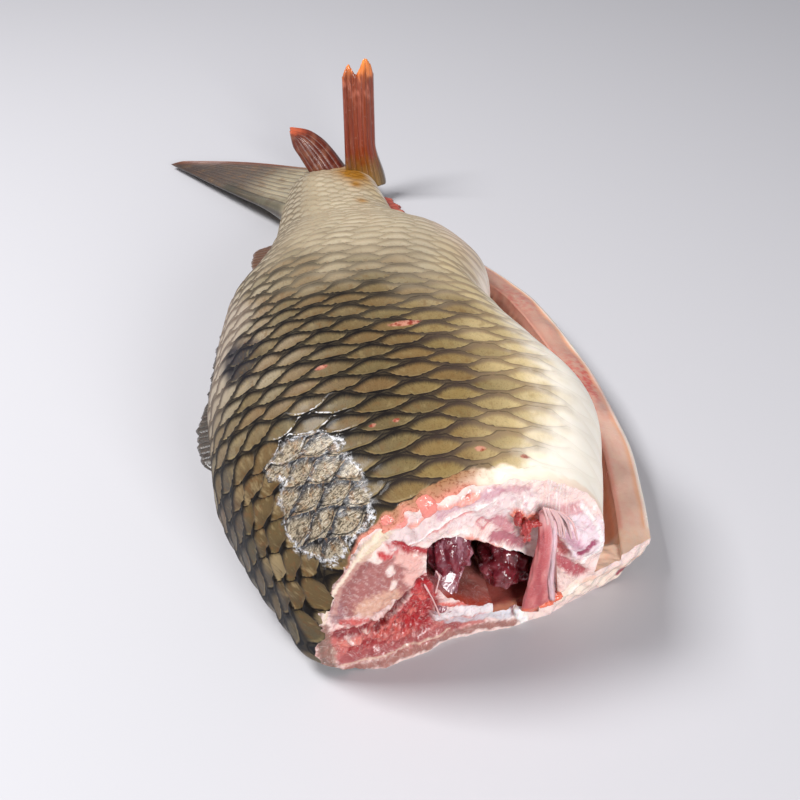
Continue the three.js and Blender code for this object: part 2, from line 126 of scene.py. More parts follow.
def smooth_curve(xs, ys):
    """Monotone cubic through the points, so no profile overshoots its stations."""
    xs = np.asarray(xs, float)
    ys = np.asarray(ys, float)
    h = np.diff(xs)
    d = np.diff(ys) / h
    m = np.zeros(len(xs))
    m[0], m[-1] = d[0], d[-1]
    for i in range(1, len(xs) - 1):
        if d[i - 1] * d[i] > 0:
            a = 2 * h[i] + h[i - 1]
            b = h[i] + 2 * h[i - 1]
            m[i] = (a + b) / (a / d[i - 1] + b / d[i])

    def value(x):
        q = np.clip(np.asarray(x, float), xs[0], xs[-1])
        i = np.clip(np.searchsorted(xs, q, side="right") - 1, 0, len(xs) - 2)
        t = (q - xs[i]) / h[i]
        return ((2 * t**3 - 3 * t**2 + 1) * ys[i] + (t**3 - 2 * t**2 + t) * h[i] * m[i]
                + (3 * t**2 - 2 * t**3) * ys[i + 1] + (t**3 - t**2) * h[i] * m[i + 1])

    return value


def waves(p, q, size, seed, octaves=3):
    """Smooth uneven noise of about -1..1 from a few crossed sines, each with its own draw."""
    rng = np.random.default_rng(seed)
    total = np.zeros(np.broadcast(p, q).shape)
    weight = 0.0
    for octave in range(octaves):
        for _ in range(4):
            angle, phase = rng.uniform(0, 2 * math.pi, 2)
            pace = 2 * math.pi / size * rng.uniform(0.7, 1.4) * 2**octave
            drift = 1.3 * np.sin(pace * 0.41 * (p * math.sin(angle) - q * math.cos(angle)) + 2 * phase)
            total += 0.6**octave * np.sin(pace * (p * math.cos(angle) + q * math.sin(angle)) + phase + drift)
        weight += 0.6**octave * 2
    return total / weight


back_x, belly_x, crest_x, crest_z, back_z, belly_z = (smooth_curve(STATIONS[:, 0], STATIONS[:, k])
                                                      for k in range(1, 7))


def skin_point(turn, y, side):
    """Skin without scales: turn 0 at the back edge, 1 at the belly edge; side +1 upper flank, -1 lower."""
    turn, y = np.broadcast_arrays(turn, y)
    phi = math.pi * (1 - turn)
    c, s = np.cos(phi), np.sin(phi)
    power = UPPER_POWER if side > 0 else LOWER_POWER
    a = np.abs(c) ** (2 / power)
    b = np.abs(s) ** (2 / power)
    middle = crest_x(y)
    rim = np.where(c < 0, back_z(y), belly_z(y))
    x = np.where(c < 0, middle - (middle - back_x(y)) * a, middle + (belly_x(y) - middle) * a)
    z = rim + (crest_z(y) - rim) * b if side > 0 else rim - (rim + REST_FLAT) * b
    return np.stack([x, y, np.maximum(z, 0)], axis=-1)


ROW_KEYS = [0, 4, 7, 9, 12, SCALE_ROWS]
ROW_SHARES = [0, 0.205, 0.374, 0.518, 0.737, 1]


def row_share(row):
    """Share of the arc length at a scale row; rows lie closer on the back than on the belly."""
    return smooth_curve(ROW_KEYS, ROW_SHARES)(row)


PITCH_FALL = (PITCH_FRONT - PITCH_TAIL) / (Y_ROOT - Y_FRONT)
PITCH_COUNT = math.log(PITCH_FRONT / PITCH_TAIL) / PITCH_FALL


def y_of_pitch(v):
    return Y_FRONT + (PITCH_FRONT / PITCH_FALL) * (1 - np.exp(-PITCH_FALL * v))


# --------------------------------------------------------------------------- mesh helpers
def grid_mesh(columns, rows, place, closed=False, material=None):
    """A bmesh grid whose points place(u, v) moves; closed joins its two sides and shuts both ends."""
    bm = bmesh.new()
    bmesh.ops.create_grid(bm, x_segments=columns, y_segments=rows, size=0.5)
    uv = np.array([vert.co[:2] for vert in bm.verts]) + 0.5
    uv = np.rint(uv * [columns, rows]) / [columns, rows]
    points, maps = place(uv[:, 0], uv[:, 1])
    layer = bm.loops.layers.uv.new("scales")
    for face in bm.faces:
        for loop in face.loops:
            loop[layer].uv = maps[loop.vert.index]
        if material is not None:
            face.material_index = material
        face.smooth = True
    for vert, point in zip(bm.verts, points * MM):
        vert.co = point
    if closed:
        bmesh.ops.remove_doubles(bm, verts=bm.verts[:], dist=1e-6)
        rims = [edge for edge in bm.edges if edge.is_boundary]
        bmesh.ops.holes_fill(bm, edges=rims, sides=0)
        bmesh.ops.recalc_face_normals(bm, faces=bm.faces[:])
    return bm


def new_object(name, bm):
    mesh = bpy.data.meshes.new(name)
    bm.to_mesh(mesh)
    bm.free()
    obj = bpy.data.objects.new(name, mesh)
    bpy.context.scene.collection.objects.link(obj)
    return obj


def points_of(mesh):
    flat = np.empty(len(mesh.vertices) * 3, dtype=np.float32)
    mesh.vertices.foreach_get("co", flat)
    return flat.reshape(-1, 3).astype(float) / MM - FISH_SHIFT


def boolean(obj, tool, operation):
    modifier = obj.modifiers.new("cut", "BOOLEAN")
    modifier.operation = operation
    modifier.solver = "MANIFOLD"
    modifier.material_mode = "INDEX"
    modifier.object = tool
    depsgraph = bpy.context.evaluated_depsgraph_get()
    result = bpy.data.meshes.new_from_object(obj.evaluated_get(depsgraph))
    obj.modifiers.clear()
    if len(result.polygons) == 0:
        raise RuntimeError(f"{obj.name}: the {operation} with {tool.name} left nothing")
    old = obj.data
    obj.data = result
    bpy.data.meshes.remove(old)
    tool_mesh = tool.data
    bpy.data.objects.remove(tool)
    bpy.data.meshes.remove(tool_mesh)


def attribute_colour(mesh, name, rgb):
    """Writes one linear colour to each point."""
    layer = mesh.color_attributes.new(name, "FLOAT_COLOR", "POINT")
    values = np.ones((len(mesh.vertices), 4), dtype=np.float32)
    values[:, :3] = rgb
    layer.data.foreach_set("color", values.ravel())


def attribute_mask(mesh, name, values):
    layer = mesh.attributes.new(name, "FLOAT", "POINT")
    layer.data.foreach_set("value", np.ascontiguousarray(values, dtype=np.float32))


def linear(rgb):
    """Screen colour 0-255 to the linear colour that shaders and attributes take."""
    c = np.asarray(rgb, float) / 255
    return np.where(c <= 0.04045, c / 12.92, ((c + 0.055) / 1.055) ** 2.4)


def blend(base, colour, share):
    share = np.clip(share, 0, 1)[..., None]
    return base * (1 - share) + linear(colour) * share


def layered(colour, coats):
    """Blends coats of (colour, share) over a base, one after another."""
    for coat, share in coats:
        colour = blend(colour, coat, share)
    return colour


def keep_faces(obj, name, indices):
    """A new object of the faces with these material indices, in one material."""
    bm = bmesh.new()
    bm.from_mesh(obj.data)
    drop = [face for face in bm.faces if face.material_index not in indices]
    bmesh.ops.delete(bm, geom=drop, context="FACES")
    if not bm.faces:
        raise RuntimeError(f"{name}: no faces were left")
    for face in bm.faces:
        face.material_index = 0
        face.smooth = True
    return new_object(name, bm)


# --------------------------------------------------------------------------- scale lattice
LENS_REACH = 0.72
LENS_FRONT = 0.32
LENS_BACK = 0.38
PLATE_REACH = 0.06
PLATE_BACK = 0.13


def lattice(u, v):
    """Offsets from the nearest scale centre, in rows and in pitches."""
    p, q = (u + 2 * v) / 2, (u - 2 * v) / 2
    fp, fq = p - np.round(p), q - np.round(q)
    return fp + fq, (fp - fq) / 2


def lens_width(a, plate):
    """Share of a scale's full depth at this place across it; plates near the nape have rounder ends."""
    return np.clip(1 - (a / (LENS_REACH + PLATE_REACH * plate)) ** 2, 0, 1) ** lerp(1.0, 0.62, plate)


def scale_height(u, v, plate):
    """Relief height: each scale rises towards the tail and drops at the next one's front edge."""
    a, b = lattice(u, v)
    sunk = np.zeros(np.shape(a))
    for da, db in ((0, 0), (1, -0.5), (-1, -0.5), (0, -1)):
        wide = lens_width(a - da, plate)
        behind = b - db + LENS_FRONT * wide
        sunk = np.maximum(sunk, np.sqrt(wide) * (1 - step(0, 0.75, behind)) * (behind >= 0))
    return 0.5 - 1.1 * sunk


def lattice_warp(row, pitch):
    """Uneven growth: the lattice wanders by up to a sixth of a scale."""
    return 0.16 * waves(row, pitch, 5, 11), 0.1 * waves(row, pitch, 4, 12)


PLATE_OUTER = ([0, 1.1, 2.1, 3.0, 3.8, 4.9, 6.0], [1.0, 1.1, 1.2, 1.5, 1.8, 2.0, 2.3])
PLATE_INNER = ([0, 1.1, 2.1, 3.0, 4.0], [3.6, 3.7, 3.8, 4.3, 4.6])
PLATE_END = 5.4


def plate_share(row, pitch):
    """In a band along the nape the scales are rounded bulging plates."""
    outer = np.interp(pitch, *PLATE_OUTER)
    inner = np.interp(pitch, *PLATE_INNER)
    return (step(outer - 0.6, outer + 0.3, row) * (1 - step(inner - 0.3, inner + 0.8, row))
            * (1 - step(PLATE_END - 1.2, PLATE_END + 1.2, pitch)))


SCALE_RELIEF = 0.8


def body_place(u, v):
    """Skin points with scale relief, and their place in the scale lattice."""
    columns = BODY_COLUMNS_UP + BODY_COLUMNS_DOWN
    rings = BODY_RINGS
    pitch = np.linspace(0, PITCH_COUNT, rings + 1)
    y = y_of_pitch(pitch)
    y[-1] = Y_ROOT
    turns = np.linspace(0, 1, 241)
    points = np.empty((rings + 1, columns + 1, 3))
    row = np.empty(columns + 1)
    row[:BODY_COLUMNS_UP + 1] = np.linspace(0, SCALE_ROWS, BODY_COLUMNS_UP + 1)
    row[BODY_COLUMNS_UP:] = np.linspace(SCALE_ROWS, 0, BODY_COLUMNS_DOWN + 1)
    share = row_share(row)
    halves = ((1, slice(0, BODY_COLUMNS_UP + 1)), (-1, slice(BODY_COLUMNS_UP, columns + 1)))
    for side, part in halves:
        arc = skin_point(turns[None, :], y[:, None], side)
        length = np.linalg.norm(np.diff(arc, axis=1), axis=2).cumsum(axis=1)
        for j in range(rings + 1):
            travelled = np.concatenate([[0], length[j] / length[j, -1]])
            turn = np.interp(share[part], travelled, turns)
            points[j, part] = skin_point(turn, y[j], side)
    around = np.roll(points[:, :-1], -1, axis=1) - np.roll(points[:, :-1], 1, axis=1)
    around = np.concatenate([around, around[:, :1]], axis=1)
    along = np.gradient(points, axis=0)
    out = np.cross(around, along)
    out /= np.linalg.norm(out, axis=2, keepdims=True) + 1e-9
    if out[rings // 2, BODY_COLUMNS_UP // 2, 2] < 0:
        out = -out
    rows, pitches = np.broadcast_arrays(row[None, :], pitch[:, None])
    du, dv = lattice_warp(rows, pitches)
    rows_w, pitches_w = rows + du, pitches + dv
    lower = np.arange(columns + 1) > BODY_COLUMNS_UP
    fade = (1 - step(SCALE_ROWS - 5, SCALE_ROWS - 2, rows)) * (1 - 0.6 * step(60, 180, points[..., 1]))
    fade = fade * np.where(lower[None, :], step(2, 8, points[..., 2]) * 0.8, 1)
    fade = fade * step(0, 0.6, rows)
    plate = plate_share(rows, pitches)
    lift = SCALE_RELIEF * fade * (1 + 0.9 * plate) * scale_height(rows_w, pitches_w, plate)
    soft = 0.5 * waves(points[..., 0], points[..., 1], 60, 21, 2) * step(3, 12, points[..., 2])
    points = points + out * (lift + soft)[..., None]
    points[..., 2] = np.maximum(points[..., 2], 0)
    i = np.rint(u * columns).astype(int)
    j = np.rint(v * rings).astype(int)
    return points[j, i] + FISH_SHIFT, np.stack([rows_w[j, i], pitches_w[j, i]], axis=-1)


BODY_RINGS = int(round(PITCH_COUNT * RINGS_A_PITCH))


# --------------------------------------------------------------------------- cutters
def cut_y(x, z):
    """The cut face: a slanted plane, the swell of the back muscle and the torn hollow beside the spine."""
    y = CUT_Y + CUT_SLANT_X * x + CUT_SLANT_Z * (z - 35)
    y = y - 2.2 * bell((x + 38) / 13, (z - 34) / 20)
    y = y + 4.5 * bell((x + 24) / 11, (z - 14) / 10)
    y = y + 3.0 * bell((x - 22) / 10, (z - 34) / 14)
    y = y + 4.0 * step(-12, 14, x) * (1 - step(20, 34, x)) * (1 - step(14, 26, z))
    out = np.maximum(0, x - 32)
    y = y + out * (0.15 + 0.0045 * out) * (1 - step(22, 32, z))
    under = 8.5 * step(14, 40, x) + 5.5 * bell((x + 7) / 11) - 3.5 * step(-52, -30, x)
    y = y + under * np.clip(1 - z / 14, 0, 1)
    y = y - 2.4 * step(52, 60, z) * bell((x + 26) / 9) * (0.6 + 0.4 * np.sin(x * 0.75))
    y = y + 0.7 * np.sin(x * 0.31 + z * 0.17) * np.sin(z * 0.29 - x * 0.11 + 1.3)
    return y + 0.45 * np.sin(x * 0.83 + 0.6) * np.sin(z * 0.71 + 0.2)


def cut_block(u_cells=344, v_cells=172):
    def place(u, v):
        x = lerp(-88, 88, u)
        z = lerp(-4, 84, v)
        y = np.maximum(cut_y(x, z) + cut_detail(x, z), Y_FRONT + 1.65 + 0.2 * waves(x, z, 6, 63))
        return np.stack([x, y, z], axis=-1) + FISH_SHIFT, np.stack([u, v], axis=-1)

    bm = grid_mesh(u_cells, v_cells, place, material=CUT)
    pulled = bmesh.ops.extrude_face_region(bm, geom=bm.faces[:])
    behind = (-190 + FISH_SHIFT[1]) * MM
    for item in pulled["geom"]:
        if isinstance(item, bmesh.types.BMVert):
            item.co.y = behind
    bmesh.ops.recalc_face_normals(bm, faces=bm.faces[:])
    return new_object("cutter", bm)


def ring_loft(name, stations, ring, count, material):
    """A closed loft: ring(y, angle) gives one ring's points, count of them, at each station."""
    def place(u, v):
        y = stations(v)
        return ring(y, u * 2 * math.pi) + FISH_SHIFT, np.stack([u, v], axis=-1)

    columns, rows = count
    return new_object(name, grid_mesh(columns, rows, place, closed=True, material=material))


GUT_KEYS = np.array([
    [-175, 4, 29.6, 24, 16, -0.63],
    [-140, 4, 29.6, 24, 16, -0.63],
    [-118, 3, 34, 31, 20, -0.2],
    [-85, -2, 38, 38, 25, 0],
    [-40, -2, 38, 38, 25, 0],
    [10, -2, 34, 28, 21, 0],
    [50, 8, 26, 20, 14, 0],
    [VENT_Y, 12, 22, 12, 9, 0],
])
GUT_SKEW = 0.32


def gut_loft():
    middle_x, middle_z, wide, high, lean = (smooth_curve(GUT_KEYS[:, 0], GUT_KEYS[:, k]) for k in range(1, 6))

    def ring(y, angle):
        c, s = np.cos(angle), np.sin(angle)
        ripple = 1 + 0.02 * waves(y, angle * 20, 26, 31) + 0.012 * waves(y, angle * 20, 7, 32)
        across = wide(y) * np.sign(c) * np.abs(c) ** 0.85 * ripple
        up = high(y) * np.sign(s) * np.abs(s) ** 0.85 * ripple
        tall = 1 + GUT_SKEW * lean(y) * c
        return np.stack([middle_x(y) + across, y, middle_z(y) + lean(y) * across + tall * up], axis=-1)

    return ring_loft("gut", lambda v: lerp(-175, VENT_Y, v), ring, (110, 150), LINING)


rim_x = smooth_curve([-152, -123, -99, -63, -26, 3, 40, 56, 84], [62, 69, 74.5, 80, 80.5, 78, 71.5, 65, 49])
rim_z = smooth_curve([-152, -110, -60, 0, 50, 84], [16, 17, 17, 17, 18, 20])


def wall_sheet(u, y, inner):
    flat = rim_x(y) - WALL_TURN
    t = np.clip((u - WALL_FLAT_SHARE) / (1 - WALL_FLAT_SHARE), 0, 1) * (math.pi / 2)
    across = WALL_TURN - RIM_WIDE if inner else WALL_TURN
    up = rim_z(y) - WALL + 1.5 if inner else rim_z(y)
    floor = WALL if inner else 0
    x = np.where(u < WALL_FLAT_SHARE, lerp(WALL_START, flat, np.clip(u / WALL_FLAT_SHARE, 0, 1)),
                 flat + across * np.sin(t))
    z = floor + np.where(u < WALL_FLAT_SHARE, 0, up * (1 - np.cos(t)))
    return np.stack([x, y, z], axis=-1)


def wall_loft():
    """The lower belly wall: outer sheet, rim face, inner sheet and a hidden back edge, as one ring."""
    outer_end, rim_end, inner_end = 0.42, 0.54, 0.96

    def place(u, v):
        y = lerp(*WALL_ENDS, v)
        outer = wall_sheet(np.clip(u / outer_end, 0, 1), y, False)
        inner = wall_sheet(np.clip((inner_end - u) / (inner_end - rim_end), 0, 1), y, True)
        across = np.clip((u - outer_end) / (rim_end - outer_end), 0, 1)[:, None]
        rim = lerp(wall_sheet(np.ones_like(u), y, False), wall_sheet(np.ones_like(u), y, True), across)
        bulge = np.sin(across[:, 0] * math.pi)
        rim[:, 2] += bulge * (1.1 + 0.4 * waves(y, across[:, 0] * 6, 23, 41, 1))
        rim[:, 0] += 0.35 * bulge * waves(y, across[:, 0] * 4, 14, 42, 1)
        back = lerp(wall_sheet(np.zeros_like(u), y, True), wall_sheet(np.zeros_like(u), y, False),
                    np.clip((u - inner_end) / (1 - inner_end), 0, 1)[:, None])
        points = np.where((u <= outer_end)[:, None], outer,
                          np.where((u < rim_end)[:, None], rim,
                                   np.where((u <= inner_end)[:, None], inner, back)))
        sunk = (u > rim_end) & (u < inner_end)
        points[:, 2] += np.where(sunk, 0.5 * waves(points[:, 0], y, 14, 43), 0)
        return points + FISH_SHIFT, np.stack([u, v], axis=-1)

    return new_object("wall", grid_mesh(100, 240, place, closed=True, material=WALL_SIDE))


def polygon_ring(corners_x, corners_z, y, angle):
    """Points along a polygon whose corners may change with y; one turn of the angle goes round it."""
    side = angle / (2 * math.pi) * len(corners_x)
    k = np.minimum(side.astype(int), len(corners_x) - 1)
    t = side - k
    xs = [np.broadcast_to(c, y.shape) for c in corners_x]
    zs = [np.broadcast_to(c, y.shape) for c in corners_z]
    after = (k + 1) % len(corners_x)
    x = lerp(np.choose(k, xs), np.choose(after, xs), t)
    z = lerp(np.choose(k, zs), np.choose(after, zs), t)
    return x, z


def slit_loft():
    def ring(y, angle):
        shut = step(45, VENT_Y + 4, y)
        low = WALL - 1.0
        high = lerp(15.5, low + 3, shut)
        inner = lerp(6, 16, shut)
        x, z = polygon_ring([inner, 120, 120, lerp(44, 36, shut), inner],
                            [low, low, high + 3, high, lerp(high + 8, high + 1, shut)], y, angle)
        ripple = 0.6 * waves(x, y, 17, 44) * (z > WALL)
        return np.stack([x, y, z + ripple], axis=-1)

    return ring_loft("slit", lambda v: lerp(-175, VENT_Y, v), ring, (60, 120), SLIT)


def front_lip():
    """The lower wall's front, turned up across the opening; it closes the slit towards the cut end."""
    def ring(y, angle):
        drop = 5 * step(-122.5, -116.5, y)
        back = 3 * step(-121, -116.5, y)
        x, z = polygon_ring([24 + back, 50, 58, 64, 66 - back, 66 - back, 56, 44, 24 + back],
                            [2, 2, 4.5, 8.5, 12 - 0.4 * drop, 16.5 - drop, 16.5 - drop, 18 - drop, 22 - drop],
                            y, angle)
        return np.stack([x, y, z + 0.5 * waves(x, y, 9, 45) * (z > 12)], axis=-1)

    return ring_loft("lip", lambda v: lerp(-175, -116.5, v), ring, (90, 120), WALL_SIDE)


SKIN, SLIT, WALL_SIDE, LINING, CUT = range(5)


# Marks on the cut face: colour, share, half-width, softness, height raised, path of (x, z) points.
CUT_MARKS = [
    ((196, 98, 92), 0.90, 9, 5, 0.0, [(-48, 14), (-36, 14), (-26, 13)]),
    ((206, 110, 102), 0.85, 4, 3, 0.0, [(-26, 6), (-10, 9), (0, 8)]),
    ((148, 84, 80), 0.95, 8, 3, 0.9, [(-46, 37), (-41, 46)]),
    ((164, 98, 93), 0.95, 8, 3, 0.9, [(-38, 36), (-33, 46), (-32, 40)]),
    ((222, 176, 150), 0.80, 4, 3, 0.3, [(-40, 32), (-33, 34.5)]),
    ((150, 104, 108), 0.80, 2.4, 2, 0.0, [(-51, 36), (-49.5, 27)]),
    ((248, 228, 220), 0.90, 1.3, 0.8, 0.5, [(-32.4, 48.0), (-31.8, 45.1)]),
    ((244, 220, 210), 0.85, 1.2, 0.8, 0.4, [(-31.4, 39.4), (-31.0, 40.6)]),
    ((246, 226, 216), 0.85, 1.5, 0.8, 0.5, [(-38.1, 53.8), (-36.3, 52.7)]),
    ((198, 50, 54), 0.90, 1.3, 0.9, 0.2, [(-35.0, 54.4), (-32.6, 53.0)]),
    ((202, 78, 76), 0.85, 1.7, 1.2, 0.2, [(-32.0, 58.2), (-29.0, 54.1)]),
    ((228, 176, 166), 0.90, 3.2, 2.0, 0.6, [(-27.8, 50.8), (-24.0, 46.6), (-24.6, 41.0)]),
    ((224, 205, 176), 0.95, 2.3, 1.0, 0.8, [(-41.3, 55.2), (-38.1, 59.0), (-34.4, 62.4), (-31.6, 64.7)]),
    ((204, 156, 142), 0.60, 0.9, 0.8, 0.0, [(-51.2, 31), (-49, 42), (-43.5, 51), (-39, 55.5)]),
    ((238, 219, 198), 0.88, 0.7, 0.8, 0.4,
     [(-35.3, 63.0), (-40.5, 57.9), (-45.2, 50.7), (-50.5, 41.9), (-53.3, 33.8),
        (-54.7, 25.4), (-54.2, 15.5), (-53.2, 6.0)]),
    ((184, 158, 142), 0.80, 1.6, 1.6, 0.0, [(-52.3, 11.3), (-52.3, 4.4)]),
    ((128, 22, 30), 0.92, 2.4, 1.6, -1.0, [(-49.8, 19.3), (-45.0, 19.7), (-39.7, 21.9)]),
    ((156, 40, 44), 0.85, 2.2, 1.5, -0.4, [(-45.0, 9.7), (-41.1, 11.8), (-35.3, 9.3)]),
    ((206, 74, 68), 0.85, 2.0, 1.4, 0.9, [(-47.5, 26.0), (-41.0, 25.5)]),
    ((226, 128, 112), 0.80, 1.8, 1.2, 0.8, [(-48.5, 14.5), (-43.0, 15.0)]),
    ((242, 206, 198), 0.85, 0.8, 0.6, 0.6, [(-47.0, 17.3), (-45.3, 15.6)]),
    ((244, 214, 204), 0.85, 0.7, 0.6, 0.6, [(-41.0, 19.2), (-39.2, 17.4)]),
    ((240, 204, 196), 0.80, 0.8, 0.6, 0.5, [(-43.6, 23.6), (-41.0, 24.6)]),
    ((206, 92, 80), 0.88, 2.8, 1.7, 1.0, [(-34.6, 14.9), (-31.0, 17.5), (-25.6, 10.6)]),
    ((178, 26, 34), 0.95, 5.0, 2.6, -0.6, [(-20.2, 33.4), (-19.4, 21.6), (-23.4, 15.2)]),
    ((182, 40, 42), 0.90, 4.0, 2.2, -0.2, [(-21.0, 28.0), (-26.4, 22.0)]),
    ((216, 96, 86), 0.75, 1.5, 1.0, 0.9, [(-21.8, 30.6), (-20.0, 26.0)]),
    ((240, 150, 136), 0.70, 1.0, 0.8, 0.8, [(-25.0, 19.8), (-22.8, 17.6)]),
    ((168, 34, 42), 0.85, 2.4, 1.6, -0.2, [(-14.8, 15.0), (-19.6, 9.9)]),
    ((92, 10, 16), 0.95, 1.3, 0.9, -1.7, [(-36.4, 17.4), (-31.6, 24.6), (-27.6, 29.6), (-25.7, 33.6)]),
    ((120, 14, 22), 0.90, 1.1, 0.9, -1.0, [(-22.2, 37.4), (-17.6, 35.4)]),
    ((229, 208, 206), 0.92, 7.0, 3.5, 0.5, [(-26, 60.5), (-19, 63.8), (-9, 64.4), (0.4, 65), (10.7, 64)]),
    ((244, 222, 212), 0.80, 2.4, 2.0, 0.0, [(-16, 71), (-6, 73), (6, 73.5), (16, 71)]),
    ((206, 156, 168), 0.75, 2.2, 1.8, 0.2, [(-15.2, 66.2), (-6.1, 69.3), (3.5, 70.8)]),
    ((190, 116, 132), 0.55, 1.4, 1.6, 0.1, [(5.0, 69.8), (13.2, 69.0)]),
    ((186, 104, 118), 0.75, 2.2, 1.8, 0.2, [(3.3, 57.9), (8.4, 52.2)]),
    ((200, 118, 124), 0.85, 0.45, 0.5, -0.4,
     [(-3.0, 58.0), (-1.0, 59.8), (1.6, 56.2), (-0.4, 54.2), (-3.0, 58.0)]),
    ((250, 240, 236), 0.90, 0.6, 0.5, 0.5, [(-26.5, 56.0), (-15.0, 61.9), (-4.5, 65.2), (3.2, 67.2)]),
    ((206, 116, 112), 0.75, 0.5, 0.6, -0.4, [(-26.3, 54.9), (-14.8, 60.6), (-4.2, 63.8)]),
    ((250, 236, 230), 0.85, 1.0, 0.8, 0.6,
     [(-17.5, 50.6), (-13.0, 54.0), (-8.8, 56.4), (-3.6, 52.4), (1.4, 47.8),
        (6.4, 44.2), (15.9, 36.2)]),
    ((168, 26, 38), 0.92, 1.1, 0.8, -1.0, [(-30.8, 59.1), (-25.7, 52.6), (-21.3, 50.7), (-17.2, 48.6)]),
    ((232, 138, 126), 0.90, 2.2, 1.2, 1.3, [(-34.0, 67.6), (-28.8, 67.4)]),
    ((238, 156, 140), 0.85, 0.8, 0.7, 0.5, [(-25.7, 64.9), (-16.0, 69.6), (-9.9, 69.1)]),
    ((238, 164, 148), 0.90, 1.7, 1.0, 0.7, [(-8.7, 69.0), (-4.2, 70.4)]),
    ((230, 146, 128), 0.90, 2.0, 1.4, 0.3, [(-5.5, 52.0), (-1.4, 46.6), (4.4, 43.8)]),
    ((172, 88, 104), 0.85, 2.4, 2.0, -0.6, [(4.0, 49.6), (8.3, 48.0), (15.4, 41.0)]),
    ((246, 232, 228), 0.85, 3.0, 2.0, 0.6, [(14, 62), (18, 59)]),
    ((224, 104, 70), 0.92, 2.1, 1.2, 1.3, [(10.3, 59.6), (13.6, 53.3), (17.0, 55.3)]),
    ((206, 66, 50), 0.85, 1.0, 0.8, 0.6, [(13.4, 47.2), (14.0, 51.0)]),
    ((238, 206, 204), 0.90, 4.4, 2.4, 0.2, [(22.5, 58), (24.6, 46)]),
    ((238, 218, 224), 0.92, 7.0, 3.0, 1.3, [(31, 48), (36, 43), (37.6, 36)]),
    ((208, 150, 154), 0.80, 2.4, 1.8, 0.4, [(26.4, 55.4), (33.4, 54.6)]),
    ((208, 160, 178), 0.75, 2.0, 2.0, 0.0, [(30.5, 42), (34.5, 36)]),
    ((150, 40, 82), 0.88, 1.2, 1.0, -0.3, [(35.8, 32.0), (40.2, 36.6)]),
    ((248, 240, 238), 0.85, 0.9, 0.8, 0.3, [(34.0, 55.6), (41, 44), (43.2, 37), (42.8, 31), (38, 25.5)]),
    ((178, 78, 78), 0.85, 1.9, 1.2, -1.4, [(25.0, 41), (28, 36), (30.6, 32)]),
    ((172, 62, 74), 0.88, 2.3, 2.0, -0.9, [(25.5, 30), (31, 27), (38, 20)]),
    ((255, 232, 216), 0.92, 6.0, 3.0, 0.0, [(36, 10), (50, 8), (68, 7)]),
    ((238, 196, 176), 0.80, 1.2, 1.0, 0.3, [(40, 15), (52, 11.5), (66, 10)]),
    ((252, 242, 234), 0.90, 1.0, 0.8, 0.7, [(37.4, 12.7), (34.3, 11.1)]),
    ((150, 48, 62), 0.92, 1.3, 0.6, -0.3, [(57, 5), (61, 5), (65, 4)]),
    ((236, 228, 230), 0.92, 3.0, 2.0, 0.4, [(-13.8, 14.9), (-6.3, 16.2), (4.5, 12.8), (12.0, 9.3)]),
    ((210, 208, 216), 0.80, 1.6, 1.2, 0.1, [(-10.3, 10.7), (4.7, 8.0), (12.2, 6.0)]),
    ((112, 44, 50), 0.90, 1.2, 1.0, -0.8, [(13.6, 11.0), (14.2, 6.4)]),
    ((252, 248, 244), 0.92, 2.0, 1.2, 1.1, [(16.0, 6.9), (17.8, 2.6)]),
    ((216, 88, 74), 0.85, 0.9, 0.7, 0.5, [(-14, 21.5), (-1, 17.3), (13, 11)]),
    ((140, 104, 92), 0.90, 2.6, 1.8, 0.0, [(-53.6, 3), (-54.4, 12), (-55.4, 24)]),
    ((164, 82, 82), 0.90, 2.4, 1.6, 0.0, [(-48, 6), (-36, 6.2), (-22, 6.4), (-8, 6.6)]),
    ((160, 108, 98), 0.88, 1.6, 1.2, 0.3,
     [(-50.7, 1.0), (-38.3, 1.8), (-24.0, 2.6), (-9.9, 3.2), (5, 3), (14, 2.4)]),
    ((232, 206, 184), 0.80, 0.35, 0.5, 0.3, [(-49, 4.0), (-38.3, 4.4), (-24.0, 5.0), (-9.9, 5.6)]),
    ((112, 90, 78), 0.80, 0.4, 0.9, 0.0,
     [(-42.0, 59.1), (-46.8, 51.5), (-52.2, 42.4), (-55.0, 34), (-56.4, 25.4),
        (-55.9, 15.5), (-54.9, 6.0)]),
]


def near_path(x, z, path):
    """Distance to a line through the points."""
    best = np.full(np.shape(x), 1e9)
    for (x0, z0), (x1, z1) in zip(path, path[1:]):
        dx, dz = x1 - x0, z1 - z0
        t = np.clip(((x - x0) * dx + (z - z0) * dz) / (dx * dx + dz * dz), 0, 1)
        best = np.minimum(best, np.hypot(x - x0 - t * dx, z - z0 - t * dz))
    return best


def mark_share(x, z, mark):
    """How far a mark covers a point, with a wandering edge."""
    _, _, half, soft, _, path = mark
    away = near_path(x, z, path) + 0.22 * soft * waves(x, z, 5, 53) + 0.3 * soft * waves(x, z, 2.2, 54, 2)
    return step(half + soft / 2, half - soft / 2, away)


def cut_detail(x, z):
    """Fine relief of the cut: muscle blocks, fat lumps, clots and torn hollows."""
    depth = 0.3 * waves(x, z, 9, 51) + 0.16 * waves(x, z, 2.6, 52)
    for mark in CUT_MARKS:
        if mark[4]:
            depth = depth - mark[4] * mark_share(x, z, mark)
    bloody = bell((x + 28) / 17, (z - 17) / 11)
    depth = depth + bloody * (1.2 * waves(x, z, 4.5, 55) + 0.7 * waves(x, z, 1.8, 56, 2))
    fibres = bell((x - 23.5) / 4.5) * step(40, 46, z)
    depth = depth + 0.35 * fibres * np.sin(x * 5.2 + 0.5 * np.sin(z * 0.6))
    return depth * (1 - 0.8 * step(38, 48, x) * step(24, 16, z))


